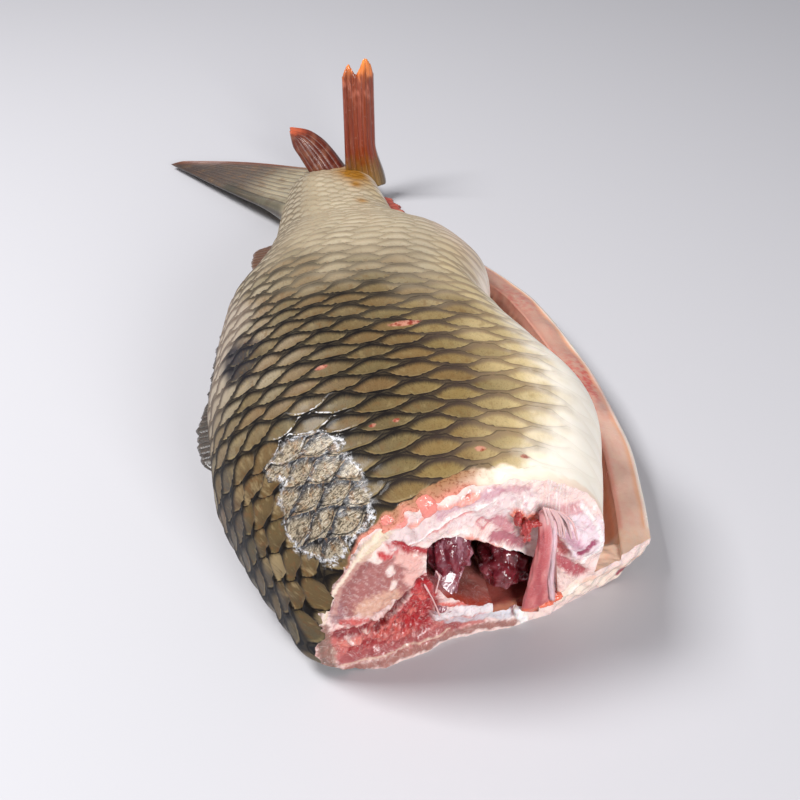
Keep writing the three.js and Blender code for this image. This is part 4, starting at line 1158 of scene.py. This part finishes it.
def skin_material():
    s = Shader("wet_scales")
    uv = s.add("ShaderNodeUVMap", uv_map="scales").outputs[0]
    u, v, _ = s.parts(uv)
    wobble = s.minus(s.noise(0.009, 1), 0.5)
    u = s.math("MULTIPLY_ADD", wobble, 0.1, u)
    v = s.math("MULTIPLY_ADD", wobble, 0.1, v)
    p = s.math("MULTIPLY_ADD", u, 0.5, v)
    q = s.math("MULTIPLY_ADD", u, 0.5, s.times(v, -1.0))
    rp, rq = s.math("ROUND", p), s.math("ROUND", q)
    fp, fq = s.minus(p, rp), s.minus(q, rq)
    across = s.plus(fp, fq)
    along = s.times(s.minus(fp, fq), 0.5)
    own = s.random(s.vector(rp, rq))
    shade, kind = own[0], s.parts(own[1])[1]
    contrast = s.attribute("contrast")
    nape = s.attribute("nape")

    reach = s.over(across, s.math("MULTIPLY_ADD", nape, PLATE_REACH, LENS_REACH))
    lens_width = s.most(s.minus(1.0, s.times(reach, reach)), 0.0)
    lens_width = s.math("POWER", lens_width, s.math("MULTIPLY_ADD", nape, -0.38, 1.0))
    from_front = s.math("MULTIPLY_ADD", lens_width, LENS_FRONT, along)
    from_back = s.minus(s.times(lens_width, s.math("MULTIPLY_ADD", nape, PLATE_BACK, LENS_BACK)),
                       along)
    fan = s.over(across, s.plus(along, 1.3))
    rays = s.noise(1.0, 2, 0.6, s.vector(s.times(fan, 34.0), s.times(along, 1.5),
                                         s.times(shade, 40.0)))
    ragged = s.math("MULTIPLY_ADD", s.minus(rays, 0.5), 0.2, from_back)
    back_soft = s.ramp(ragged, -0.02, 0.24)
    front_hard = s.ramp(from_front, -0.01, 0.03)
    lens = s.times(back_soft, front_hard)
    # rim: a painted highlight, a light line just inside each lens's front edge.
    rim = s.times(s.ridge(from_front, 0.055, 0.03), s.times(front_hard, s.ramp(lens_width, 0.1, 0.5)))
    # line: the thin dark line at each lens's front edge, partly the dark gap between scales and partly
    # painted shadow of the step down.
    line = s.ridge(from_front, -0.02, 0.028)
    side = s.ramp(s.math("ABSOLUTE", across), 0.36, 0.8)

    scale = s.attribute("scale_colour", "Color")
    gap = s.attribute("gap_colour", "Color")
    speckle = s.noise(0.0006, 2, 0.7)
    grain = s.noise(0.0024, 3, 0.6)
    tone = s.noise(1.0, 2, 0.6, s.vector(s.times(fan, 7.0), s.times(along, 2.5),
                                         s.times(kind, 30.0)))
    strong = s.times(s.times(contrast, contrast), s.math("MULTIPLY_ADD", nape, -0.4, 1.0))
    scale = s.mix(s.times(s.ramp(shade, 0.3, 1.0), s.times(strong, 0.55)),
                  scale, srgb(112, 84, 54))
    scale = s.mix(s.times(s.ramp(kind, 0.5, 1.0), s.times(strong, 0.5)),
                  scale, srgb(92, 83, 56))
    scale = s.mix(s.times(s.ramp(tone, 0.5, 0.72), s.times(strong, 0.55)),
                  scale, srgb(106, 78, 46))
    scale = s.mix(s.times(s.ramp(tone, 0.46, 0.3), s.times(strong, 0.35)),
                  scale, srgb(142, 124, 86))
    scale = s.mix(s.times(s.ramp(speckle, 0.5, 0.75), s.times(strong, 0.5)),
                  scale, srgb(66, 52, 30))
    rusty = s.times(nape, s.ramp(grain, 0.5, 0.66))
    scale = s.mix(s.times(rusty, 0.35), scale, srgb(118, 76, 46))
    shine = s.times(nape, s.ramp(s.math("MULTIPLY_ADD", kind, 0.4, tone), 0.78, 0.46))
    scale = s.mix(s.times(shine, 0.7), scale, srgb(160, 140, 104))
    tips = s.times(s.ramp(lens_width, 0.42, 0.1), s.times(contrast, 0.6))
    scale = s.mix(tips, scale, srgb(100, 90, 72))
    ray_dark = s.times(s.ramp(rays, 0.46, 0.62), s.ramp(from_back, 0.3, 0.08))
    scale = s.mix(s.times(ray_dark, s.times(contrast, 0.6)), scale, gap)
    faded = s.mix(0.62, gap, scale)
    gap = s.mix(s.times(side, 0.42), gap, faded)
    skin = s.mix(lens, gap, scale)
    # Painted highlight: the light rim along each lens's front edge.
    rim_highlight_share = s.times(s.times(contrast, 0.26), s.minus(1.0, nape))
    skin = s.mix(s.times(rim, rim_highlight_share), skin, srgb(172, 152, 108))
    # Partly the gap's own dark and partly painted shadow where each scale drops onto the next.
    gap_and_shadow_colour = s.mix(0.75, s.attribute("gap_colour", "Color"), srgb(20, 16, 18))
    skin = s.mix(s.times(line, s.times(contrast, 0.85)), skin, gap_and_shadow_colour)
    # Painted shade: a near-black band in the cleft behind each bulging nape plate.
    cleft_shade = s.times(nape, s.ramp(from_back, 0.13, 0.03))
    skin = s.mix(s.times(cleft_shade, 0.9), skin, srgb(10, 6, 4))

    crust_raw = s.math("MULTIPLY_ADD", s.minus(s.noise(0.004, 4, 0.65), 0.5), 0.7, s.attribute("crust"))
    crust = s.ramp(crust_raw, 0.48, 0.54)
    film = s.mix(s.ramp(from_back, -0.02, 0.3), srgb(64, 67, 74), srgb(168, 154, 132))
    film = s.mix(s.times(s.ramp(tone, 0.5, 0.66), 0.6), film, srgb(140, 102, 64))
    film = s.mix(s.times(s.ramp(s.noise(0.0044, 3, 0.7), 0.54, 0.7), 0.5), film, srgb(140, 148, 160))
    wrinkle = s.noise(1.0, 3, 0.75, s.vector(s.times(u, 4.0), s.times(v, 10.0), shade), distortion=1.5)
    film = s.mix(s.times(s.ramp(wrinkle, 0.52, 0.42), 0.85), film, srgb(50, 44, 40))
    film = s.mix(s.times(s.ramp(wrinkle, 0.57, 0.66), 0.7), film, srgb(216, 208, 194))
    pits = s.times(s.ramp(s.noise(0.004, 3, 0.7), 0.6, 0.68), s.ramp(lens, 0.5, 0.1))
    # In the film the edge line is darkened too, partly as painted shadow.
    film = s.mix(s.most(s.times(line, 0.9), pits), film, srgb(12, 12, 15))
    skin = s.mix(s.times(crust, 0.9), skin, film)
    patchy = s.ramp(s.noise(0.011, 2, 0.5), 0.42, 0.58, 0.25, 1.0)
    edge = s.times(s.ridge(crust_raw, 0.52, 0.07), patchy)
    # White flecks along the film's edge: partly dried crust, partly painted glints of the wet film.
    crust_flecks_and_glints = s.times(edge, s.ramp(s.noise(0.0012, 3, 0.8), 0.44, 0.54))
    torn_line = s.times(s.ridge(crust_raw, 0.44, 0.03), s.ramp(s.noise(0.007, 2), 0.5, 0.6))
    skin = s.mix(torn_line, skin, srgb(16, 14, 15))
    fringe_at = s.attribute("fringe")
    crack = s.times(fringe_at, s.ridge(from_front, -0.01, 0.05))
    skin = s.mix(s.times(crack, 0.95), skin, srgb(6, 6, 8))
    # Painted glints: white highlights along the edges of the cracks in the fringed patch.
    fringe = s.times(fringe_at, s.ridge(from_front, 0.085, 0.03))
    fringe = s.times(fringe, s.ramp(s.noise(0.002, 3, 0.8), 0.46, 0.53))
    skin = s.mix(s.most(crust_flecks_and_glints, fringe), skin, srgb(232, 231, 234))

    bare_raw = s.math("MULTIPLY_ADD", s.minus(s.noise(0.005, 4), 0.5), 0.5, s.attribute("bare"))
    bare = s.ramp(bare_raw, 0.3, 0.7)
    naked = s.attribute("naked_colour", "Color")
    dots = s.times(s.ramp(s.noise(0.0011, 3, 0.7), 0.5, 0.62), s.times(s.attribute("dotted"), 0.6))
    naked = s.mix(dots, naked, srgb(176, 128, 96), "MULTIPLY")
    naked = s.mix(s.times(s.ramp(s.noise(0.004, 3), 0.58, 0.7), 0.2), naked, srgb(224, 138, 118))
    skin = s.mix(bare, skin, naked)

    sore_raw = s.math("MULTIPLY_ADD", s.minus(s.noise(0.002, 3), 0.5), 0.5, s.attribute("wound"))
    sore = s.ramp(sore_raw, 0.42, 0.72)
    raw = s.mix(s.ramp(s.noise(0.0018, 3), 0.4, 0.65), srgb(196, 136, 116), srgb(136, 48, 38))
    skin = s.mix(s.times(sore, 0.8), skin, raw)

    s.set("Base Color", skin)
    rough = s.math("MULTIPLY_ADD", s.noise(0.004, 3), 0.24, 0.3)
    rough = s.math("MULTIPLY_ADD", s.minus(1.0, lens), 0.25, rough)
    rough = s.minus(rough, s.times(s.most(crust, sore), 0.18))
    s.wet(rough, 0.09, 0.12, 0.04, specular=0.1)
    fine = s.math("MULTIPLY_ADD", speckle, 0.12, s.times(rays, 0.2))
    slope = s.times(front_hard, s.ramp(from_back, 0.45, -0.05, 0.35, 1.0))
    coarse = s.bump(s.times(s.plus(slope, fine), contrast), 0.0004, 0.7)
    ragged_film = s.times(crust, s.noise(0.0045, 4, 0.6))
    s.set("Normal", s.bump(ragged_film, 0.0014, 0.8, coarse))
    return s.material


def flesh_material(name, fallback=None, glint_share=0.5, gloss=0.22, depth=0.2, marbling=1.0):
    """Wet raw flesh: painted colour, muscle grain, painted white glints as highlights, deep soft light."""
    s = Shader(name)
    base = s.attribute("flesh_colour", "Color") if fallback is None else fallback
    grain = s.noise(0.0016, 4, 0.65)
    mottle = s.noise(0.006, 4, 0.6)
    base = s.mix(s.times(s.ramp(grain, 0.52, 0.75), 0.28 * marbling), base, srgb(252, 228, 220))
    base = s.mix(s.times(s.ramp(grain, 0.46, 0.3), 0.34 * marbling), base, srgb(190, 96, 92), "MULTIPLY")
    base = s.mix(s.times(s.ramp(mottle, 0.52, 0.72), 0.2 * marbling), base, srgb(206, 104, 98))
    fibre = s.ridge(s.noise(0.0075, 3, 0.6, distortion=0.8), 0.5, 0.008)
    base = s.mix(s.times(fibre, 0.32 * marbling), base, srgb(250, 232, 228))
    clot = s.ridge(s.noise(0.009, 3, 0.65, distortion=1.2), 0.44, 0.014)
    base = s.mix(s.times(clot, 0.3 * marbling), base, srgb(150, 30, 38))
    # Painted highlight: small white glints over the flesh.
    glint = s.ramp(s.noise(0.0011, 2, 0.8), 0.68, 0.74)
    base = s.mix(s.times(glint, glint_share), base, srgb(255, 246, 240))
    s.set("Base Color", base)
    rough = s.math("MULTIPLY_ADD", mottle, 0.2, gloss - 0.08)
    s.wet(rough, 0.45, 0.07, depth, radius=(0.002,), specular=0.4)
    ripple = s.math("MULTIPLY_ADD", s.noise(0.0028, 3, 0.6), 0.9,
                    s.math("MULTIPLY_ADD", fibre, 0.5 * marbling, grain))
    s.set("Normal", s.bump(ripple, 0.0007, 0.15 + 0.4 * marbling))
    return s.material


def organ_material(name, body, film, share):
    """Glossy dark organ tissue under a torn pale film, with painted highlight streaks."""
    s = Shader(name)
    base = s.mix(s.ramp(s.noise(0.004, 4, 0.6), 0.42, 0.62), body, srgb(132, 44, 56))
    base = s.mix(s.times(s.ramp(s.noise(0.0065, 4, 0.65, stretch=(1, 1, 0.5)), 0.5, 0.58), share), base, film)
    # Painted highlight: streaks of white-lilac glints on the organ.
    base = s.mix(s.times(s.ramp(s.noise(0.0016, 3, 0.7, stretch=(1, 1, 0.45)), 0.6, 0.68), 0.45), base,
                 srgb(226, 206, 216))
    s.set("Base Color", base)
    s.wet(s.math("MULTIPLY_ADD", s.noise(0.003, 3), 0.14, 0.14), 0.55, 0.07, 0.1, radius=(0.002,))
    s.set("Normal", s.bump(s.noise(0.005, 4, 0.5, stretch=(1, 1, 0.5), distortion=0.8), 0.0014, 0.6))
    return s.material


def lining_paint(mesh):
    """Gut lining: dark maroon-brown roof and sides, pinkish tan floor, painted shade deeper inside the
    cavity, an orange-red edge along its mouth.
    """
    p = points_of(mesh)
    x, y, z = p[:, 0], p[:, 1], p[:, 2]
    spots = waves(x, y, 9, 71)
    colour = np.broadcast_to(linear((162, 84, 74)), (len(x), 3)).copy()
    colour = blend(colour, (120, 46, 48), step(20, 40, z) * 0.8)
    floor = step(22, 12, z)
    colour = layered(colour, [
        ((198, 120, 110), floor * 0.9),
        ((176, 70, 62), step(0.15, 0.8, spots) * 0.5),
        ((232, 196, 184), step(0.3, 0.9, -spots) * floor * 0.5),
    ])
    # Painted shade: darker deeper inside the cavity, less so on its floor.
    inner = step(-138, -118, y) * step(44, 24, np.abs(x)) * (1 - 0.75 * floor)
    colour = blend(colour, (96, 28, 34), inner * 0.6)
    colour = blend(colour, (206, 84, 62), step(4.5, 0.5, y - cut_y(x, z)) * 0.8)
    gutter = step(40, 50, x)
    colour = blend(colour, (226, 140, 110), gutter * 0.9)
    attribute_colour(mesh, "flesh_colour", colour)


def wall_paint(mesh):
    """Lower belly wall: smooth pale rim with a cream edge and an orange line, and a gutter inside painted
    brown-tan as shade further back.
    """
    p = points_of(mesh)
    x, y, z = p[:, 0], p[:, 1], p[:, 2]
    edge = rim_x(y)
    top = rim_z(y)
    spots = waves(x * 1.4, y, 12, 72)
    fine = waves(x, y, 4, 73)
    colour = np.broadcast_to(linear((238, 200, 176)), (len(x), 3)).copy()
    lip = step(-114.5, -118.5, y) * step(9, 11, z)
    inner = step(edge - RIM_WIDE + 0.8, edge - RIM_WIDE - 1.2, x) * (1 - lip)
    colour = layered(colour, [
        ((240, 160, 128), inner * 0.95),
        # Painted shade: the inner face of the gutter turns brown-tan further back.
        ((150, 104, 92), inner * step(-62, -20, y) * 0.8),
        ((236, 176, 146), inner * step(0.1, 0.8, spots) * 0.4),
        ((242, 190, 160), lip * step(-0.2, 0.8, spots) * 0.7),
        ((208, 74, 52), lip * bell((x - 35) / 7) * 0.8),
        ((206, 140, 96), bell((x - 43.5) / 2.2, (y + 125) / 4) * lip * 0.8),
    ])
    on_rim = (1 - inner) * (1 - lip) * step(top - 5, top - 2, z)
    colour = blend(colour, (234, 192, 172), on_rim * 0.85)
    rear = step(-30, 10, y)
    colour = layered(colour, [
        ((226, 160, 146), on_rim * step(0.0, 0.7, spots) * (0.25 + 0.4 * rear)),
        ((224, 140, 122), on_rim * step(edge - RIM_WIDE + 2.6, edge - RIM_WIDE + 0.8, x) * 0.75),
        ((166, 124, 108), on_rim * step(-62, -24, y) * step(edge - 1.5, edge - 3, x) * 0.75),
        ((236, 172, 130), on_rim * bell((x - edge + 2.3) / 0.8) * 0.85),
        ((250, 240, 226), on_rim * step(edge - 1.6, edge - 0.4, x)),
    ])
    bloody = bell((y + 26) / 18) + 0.5 * bell((y - 40) / 14)
    colour = layered(colour, [
        ((176, 112, 98), on_rim * bell((y + 34) / 16) * 0.5),
        ((182, 66, 60), on_rim * bloody * step(-0.3, 0.35,
                                               fine + 0.4 * spots) * step(edge - 1.5, edge - 3.5, x) * 0.85),
        ((150, 128, 122), on_rim * bell((y + 44) / 5, (x - edge + 4) / 3) * 0.6),
    ])
    outside = step(top - 1, top - 5, z) * (1 - inner)
    colour = blend(colour, (240, 224, 210), outside * 0.8)
    within = step(1.0, 3.5, y - cut_y(x, z)) * step(42, 36, x) * step(6, 9, z)
    colour = blend(colour, (150, 62, 60), within * 0.9)
    attribute_colour(mesh, "flesh_colour", colour)


# --------------------------------------------------------------------------- fin looks
def fin_paint(mesh, paint):
    p = points_of(mesh)
    attribute_colour(mesh, "fin_colour", paint(p[:, 0], p[:, 1], p[:, 2]))


def flat_lobe_colours(x, y, z):
    """Grey-brown upper lobe: pale at its root, dark out to the tip, rusty along its rear edge."""
    out = np.hypot(x + 8, y - 172) / 95
    patch = waves(x, y, 16, 101)
    colour = np.broadcast_to(linear((164, 152, 126)), (len(x), 3)).copy()
    colour = layered(colour, [
        ((92, 79, 68), step(0.26, 0.55, out)),
        ((56, 43, 38), step(0.5, 0.95, out) * 0.85),
        ((112, 84, 56), step(0.1, 0.8, patch) * 0.45),
    ])
    rear = step(8, 1, near_path(x, y, [(8, 178), (-4, 200), (-17, 211), (-36, 224), (-54, 234), (-82, 244)]))
    colour = blend(colour, (132, 70, 44), rear * 0.7)
    lower = step(9, 1, near_path(x, y, [(-36, 158), (-46, 175), (-58, 195)]))
    return blend(colour, (58, 57, 46), lower * 0.75)


def standing_lobe_colours(x, y, z):
    """Rust-red lower lobe with ochre base, orange tips and a painted pinkish sheen on its upper part."""
    patch = waves(x, z * 0.4, 7, 102)
    colour = np.broadcast_to(linear((130, 44, 10)), (len(x), 3)).copy()
    colour = layered(colour, [
        ((134, 52, 16), step(34, 60, z) * 0.7),
        # Painted sheen: pinkish patches on the lobe's upper part.
        ((190, 108, 84), step(-0.1, 0.7, patch) * step(50, 64, z) * 0.7),
        ((250, 142, 62), step(66, 79, z + 3 * patch)),
        ((124, 92, 34), step(30, 18, z + 3 * patch) * 0.8),
        ((132, 100, 40), step(20, 10, z)),
    ])
    sliver = step(24, 27, x + 0.12 * (z - 10)) * step(40, 30, z)
    return blend(colour, (92, 80, 68), sliver * 0.85)


def middle_rays_colours(x, y, z):
    patch = waves(x, z, 9, 103)
    colour = np.broadcast_to(linear((98, 36, 20)), (len(x), 3)).copy()
    colour = blend(colour, (104, 40, 30), step(25, 13, z) * 0.8)
    colour = blend(colour, (136, 82, 60), step(-0.2, 0.8, patch) * 0.7)
    return blend(colour, (232, 104, 60), step(34, 37.5, z + patch) * 0.7)


def root_colours(x, y, z):
    colour = np.broadcast_to(linear((196, 180, 140)), (len(x), 3)).copy()
    colour = blend(colour, (174, 120, 40), 1.3 * bell((x - 10) / 9, (y - 180) / 16))
    colour = blend(colour, (132, 62, 36), step(188, 202, y) * 0.7)
    return blend(colour, (130, 116, 92), step(-8, -18, x) * 0.7)


def dorsal_colours(x, y, z):
    colour = np.broadcast_to(linear((72, 66, 60)), (len(x), 3)).copy()
    colour = blend(colour, (48, 42, 40), step(0.1, 0.8, waves(x, y, 9, 104)) * 0.7)
    return blend(colour, (112, 72, 46), step(60, 84, y) * 0.75)


def anal_colours(x, y, z):
    colour = np.broadcast_to(linear((172, 70, 54)), (len(x), 3)).copy()
    return blend(colour, (222, 150, 124), step(0.0, 0.8, waves(x, y, 7, 105)) * 0.6)


def fin_material(name, pale=0.3, dark=0.45, film=0.3, groove_share=0.6):
    s = Shader(name)
    u, v, _ = s.parts(s.add("ShaderNodeUVMap", uv_map="scales").outputs[0])
    base = s.attribute("fin_colour", "Color")
    groove = s.math("ABSOLUTE", s.math("SINE", s.times(u, math.pi)))
    joints = s.noise(1.0, 2, 0.6, s.vector(s.times(u, 1.5), s.times(v, 60.0)))
    streak = s.noise(1.0, 3, 0.6, s.vector(s.times(u, 7.0), s.times(v, 4.0)))
    base = s.mix(s.times(s.ramp(groove, 0.4, 0.05), groove_share), base, srgb(92, 48, 36), "MULTIPLY")
    base = s.mix(s.times(s.ramp(streak, 0.52, 0.72), pale), base, srgb(226, 172, 140))
    base = s.mix(s.times(s.ramp(streak, 0.46, 0.3), dark), base, srgb(56, 30, 22))
    base = s.mix(s.times(s.ramp(s.noise(0.0022, 4, 0.7), 0.58, 0.72), film), base, srgb(206, 190, 180))
    s.set("Base Color", base)
    rough = s.math("MULTIPLY_ADD", s.noise(0.005, 3), 0.25, 0.22)
    s.wet(rough, 0.4, 0.1, 0.05)
    height = s.math("MULTIPLY_ADD", joints, 0.35, s.times(groove, 0.6))
    s.set("Normal", s.bump(height, 0.0005, 0.7))
    return s.material


# --------------------------------------------------------------------------- settings
class CarpSettings(bpy.types.PropertyGroup):
    camera_lens: FloatProperty(name="Camera lens", description="Focal length on a 36 mm sensor", default=57.5,
                               min=20, max=200, unit="CAMERA")
    camera_reach: FloatProperty(name="Camera distance", description="From the lens to the middle of the fish",
                                default=0.56, min=0.2, max=3, unit="LENGTH")
    camera_turn: FloatProperty(name="Camera turn",
                               description="How far the view is turned from along the fish",
                               default=math.radians(-11), subtype="ANGLE", unit="ROTATION")
    camera_drop: FloatProperty(name="Camera height angle", description="How steeply the camera looks down",
                               default=math.radians(37), subtype="ANGLE", unit="ROTATION")
    key_power: FloatProperty(name="Key light", description="Power of the soft light at the left, watts",
                             default=13.2,
                             min=0)
    front_power: FloatProperty(name="Front light",
                               description="Power of the soft light behind the camera, watts",
                               default=15.0, min=0)


class CarpColours(bpy.types.PropertyGroup):
    floor: FloatVectorProperty(name="Table", description="Colour of the table top", subtype="COLOR", size=3,
                               default=srgb(191, 190, 194), min=0, max=1)
    film: FloatVectorProperty(name="Film", description="Colour of the threads and films in the mouth",
                              subtype="COLOR", size=3, default=srgb(226, 180, 178), min=0, max=1)
    fat: FloatVectorProperty(name="Fat", description="Colour of the fat at the edge of the cut",
                             subtype="COLOR", size=3, default=srgb(230, 134, 122), min=0, max=1)
    torn: FloatVectorProperty(name="Torn bits", description="Colour of the torn bits at the strip's top",
                              subtype="COLOR", size=3, default=srgb(176, 52, 50), min=0, max=1)
    organ: FloatVectorProperty(name="Organ", description="Colour of the organ remnants", subtype="COLOR",
                               size=3,
                               default=srgb(112, 44, 58), min=0, max=1)


def settings():
    return bpy.context.scene.carp_settings


def colours():
    return bpy.context.scene.carp_colours


# --------------------------------------------------------------------------- operators
def finish_piece(obj, material, slot, *nodes):
    obj.data.materials.clear()
    obj.data.materials.append(material)
    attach(obj, "root")
    if nodes:
        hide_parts(*nodes)


class CARP_OT_stage(bpy.types.Operator):
    """Makes the table top, the soft studio lights and the camera."""
    bl_idname = "carp.stage"
    bl_label = "Table, Lights and Camera"

    def execute(self, context):
        scene = context.scene
        scene.view_settings.view_transform = "Standard"
        values = settings()
        bm = bmesh.new()
        bmesh.ops.create_grid(bm, x_segments=1, y_segments=1, size=TABLE_REACH)
        table = new_object("table_top", bm)
        s = Shader("table_finish")
        s.set("Base Color", tuple(colours().floor))
        s.surface.inputs["Roughness"].default_value = 0.6
        table.data.materials.append(s.material)

        aim = Vector(FISH_SHIFT * MM)
        turn, drop = values.camera_turn, values.camera_drop
        forward = Vector((-math.sin(turn) * math.cos(drop), math.cos(turn) * math.cos(drop), -math.sin(drop)))
        camera = bpy.data.objects.new("camera", bpy.data.cameras.new("camera"))
        scene.collection.objects.link(camera)
        camera.location = aim - forward * values.camera_reach
        camera.rotation_euler = forward.to_track_quat("-Z", "Y").to_euler()
        camera.data.sensor_width = 36
        camera.data.lens = values.camera_lens
        camera.data.clip_start = 0.01
        scene.camera = camera

        for name, place, power, size in (("key_light", KEY_PLACE, values.key_power, KEY_SIDE),
                                         ("front_light", FRONT_PLACE, values.front_power, FRONT_SIDE)):
            lamp = bpy.data.lights.new(name, "AREA")
            lamp.energy = power
            lamp.size = size
            holder = bpy.data.objects.new(name, lamp)
            scene.collection.objects.link(holder)
            holder.location = place
            holder.rotation_euler = (aim - Vector(place)).to_track_quat("-Z", "Y").to_euler()
        world = bpy.data.worlds.new("studio")
        world.use_nodes = True
        world.node_tree.nodes["Background"].inputs[0].default_value = (*srgb(236, 236, 244), 1)
        world.node_tree.nodes["Background"].inputs[1].default_value = ROOM_LIGHT
        scene.world = world
        return {"FINISHED"}


class CARP_OT_carcass(bpy.types.Operator):
    """Makes the body: scaled skin, cut end, belly wall and gut lining, cut from one solid."""
    bl_idname = "carp.carcass"
    bl_label = "Carcass"

    def execute(self, context):
        whole = new_object("whole", grid_mesh(BODY_COLUMNS_UP + BODY_COLUMNS_DOWN, BODY_RINGS, body_place,
                                              closed=True, material=SKIN))
        boolean(whole, slit_loft(), "DIFFERENCE")
        boolean(whole, wall_loft(), "UNION")
        boolean(whole, front_lip(), "UNION")
        boolean(whole, gut_loft(), "DIFFERENCE")
        boolean(whole, cut_block(), "DIFFERENCE")
        skin = keep_faces(whole, "flank_skin", {SKIN})
        skin_paint(skin.data)
        finish_piece(skin, skin_material(), "scaly_skin", "carcass")
        cut = keep_faces(whole, "cut_flesh", {CUT})
        cut_paint(cut.data)
        finish_piece(cut, flesh_material("wet_flesh", gloss=0.17, marbling=0.7), "cut_flesh", "carcass")
        wall = keep_faces(whole, "belly_wall", {WALL_SIDE})
        wall_paint(wall.data)
        finish_piece(wall, flesh_material("belly_wall_flesh", glint_share=0.06, marbling=0.12), "gut_lining",
                     "carcass")
        lining = keep_faces(whole, "gut_lining", {LINING, SLIT})
        lining_paint(lining.data)
        finish_piece(lining, flesh_material("gut_lining_flesh", glint_share=0.15, marbling=0.6), "gut_lining",
                     "carcass")
        mesh = whole.data
        bpy.data.objects.remove(whole)
        bpy.data.meshes.remove(mesh)
        return {"FINISHED"}


class CARP_OT_tail(bpy.types.Operator):
    """Makes the tail root and the three parts of the tail fin, with their rays."""
    bl_idname = "carp.tail"
    bl_label = "Tail"

    def execute(self, context):
        flat = fin_plate("tail_flat_lobe_fin", flat_lobe_sheet, (0, 0, 1), flat_lobe_thickness, 11, 0.55,
                         (150, 130))
        fin_paint(flat.data, flat_lobe_colours)
        finish_piece(flat, fin_material("upper_lobe_fin", pale=0.12, film=0.15), "fin_rays", "tail_flat_lobe")
        standing = fin_plate("tail_standing_lobe_fin", standing_lobe_sheet, (0, 1, 0),
                             lambda u, v: lerp(9, 2.0, u**0.7), 7, 0.35, (100, 130))
        fin_paint(standing.data, standing_lobe_colours)
        finish_piece(standing, fin_material("lower_lobe_fin", pale=0.2, dark=0.25, film=0.12,
                                            groove_share=0.35), "fin_rays", "tail_standing_lobe")
        middle = fin_plate("tail_middle_rays_fin", middle_rays_sheet, (0, 1, 0.2), lambda u,
                           v: lerp(6, 1.8, u),
                           6, 0.25, (80, 60))
        fin_paint(middle.data, middle_rays_colours)
        finish_piece(middle, fin_material("middle_rays_fin", pale=0.15, dark=0.3, film=0.2,
                                          groove_share=0.35), "fin_rays", "tail_middle_rays")
        root = tail_root_mesh()
        fin_paint(root.data, root_colours)
        finish_piece(root, fin_material("tail_root_skin"), "fin_rays", "carcass")
        return {"FINISHED"}


class CARP_OT_trimmed_fins(bpy.types.Operator):
    """Makes the trimmed fin strip along the back and the stub of the anal fin."""
    bl_idname = "carp.trimmed_fins"
    bl_label = "Trimmed Fins"

    def execute(self, context):
        dorsal = fin_plate("dorsal_strip", dorsal_sheet, (0, 0, 1), lambda u, v: lerp(6.4, 1.8, u), 60, 0.14,
                           (360, 16))
        fin_paint(dorsal.data, dorsal_colours)
        finish_piece(dorsal, fin_material("dorsal_fin_skin", pale=0.12, film=0.1), "fin_rays", "carcass")
        anal = fin_plate("anal_stub", anal_sheet, (0, 0, 1), lambda u, v: lerp(6.4, 2.0, u), 12, 0.3,
                         (120, 20))
        fin_paint(anal.data, anal_colours)
        finish_piece(anal, fin_material("anal_fin_skin"), "fin_rays", "carcass")
        return {"FINISHED"}


class CARP_OT_remnants(bpy.types.Operator):
    """Makes the torn strip of muscle and the two organ remnants in the opening."""
    bl_idname = "carp.remnants"
    bl_label = "Remnants in the Opening"

    def execute(self, context):
        strip = strip_mesh()
        strip_paint(strip.data)
        finish_piece(strip, flesh_material("strip_flesh", glint_share=0.1, gloss=0.12, marbling=0.3), "cut_flesh",
                     "hanging_strip")
        threads = threads_mesh()
        finish_piece(threads, flesh_material("thread_film", tuple(colours().film), 0.2, 0.16, marbling=0.3),
                     "cut_flesh")
        fat = fat_mesh()
        finish_piece(fat, flesh_material("edge_fat", tuple(colours().fat), 0.1, 0.14, marbling=0.3),
                     "cut_flesh")
        torn = torn_mesh()
        finish_piece(torn, flesh_material("torn_bits", tuple(colours().torn), 0.3, 0.16), "cut_flesh")
        near = new_object("organ_near", lump((-8.6, -129, 34), (8.2, 8.5, 11.3), 111, 0.17, octaves=2))
        finish_piece(near, organ_material("near_organ", tuple(colours().organ), srgb(184, 136, 150), 0.45),
                     "organ",
                     "organ_lobe_near")
        trail = organ_film_mesh()
        finish_piece(trail, organ_material("organ_film_skin", srgb(140, 84, 94), srgb(198, 164, 172), 0.6),
                     "organ")
        far = new_object("organ_far", lump((12, -126, 21.6), (9.8, 11, 8.6), 113, 0.17, octaves=1))
        finish_piece(far, organ_material("far_organ", srgb(98, 22, 30), srgb(166, 104, 110), 0.25), "organ",
                     "organ_lobe_far")
        return {"FINISHED"}


class CARP_PT_panel(bpy.types.Panel):
    """Lists the pieces of the carp."""
    bl_idname = "CARP_PT_panel"
    bl_label = "Raw Carp"
    bl_space_type = "VIEW_3D"
    bl_region_type = "UI"
    bl_category = "Carp"

    def draw(self, context):
        for group in (context.scene.carp_settings, context.scene.carp_colours):
            for name in group.__annotations__:
                self.layout.prop(group, name)
        for operator in OPERATORS:
            self.layout.operator(operator.bl_idname)


OPERATORS = (CARP_OT_stage, CARP_OT_carcass, CARP_OT_tail, CARP_OT_trimmed_fins, CARP_OT_remnants)
CLASSES = (CarpSettings, CarpColours, *OPERATORS, CARP_PT_panel)


def register():
    for cls in CLASSES:
        bpy.utils.register_class(cls)
    bpy.types.Scene.carp_settings = PointerProperty(type=CarpSettings)
    bpy.types.Scene.carp_colours = PointerProperty(type=CarpColours)


def unregister():
    del bpy.types.Scene.carp_settings
    del bpy.types.Scene.carp_colours
    for cls in reversed(CLASSES):
        bpy.utils.unregister_class(cls)


def main():
    register()
    for operator in OPERATORS:
        group, _, name = operator.bl_idname.partition(".")
        getattr(getattr(bpy.ops, group), name)()


if __name__ == "__main__":
    main()
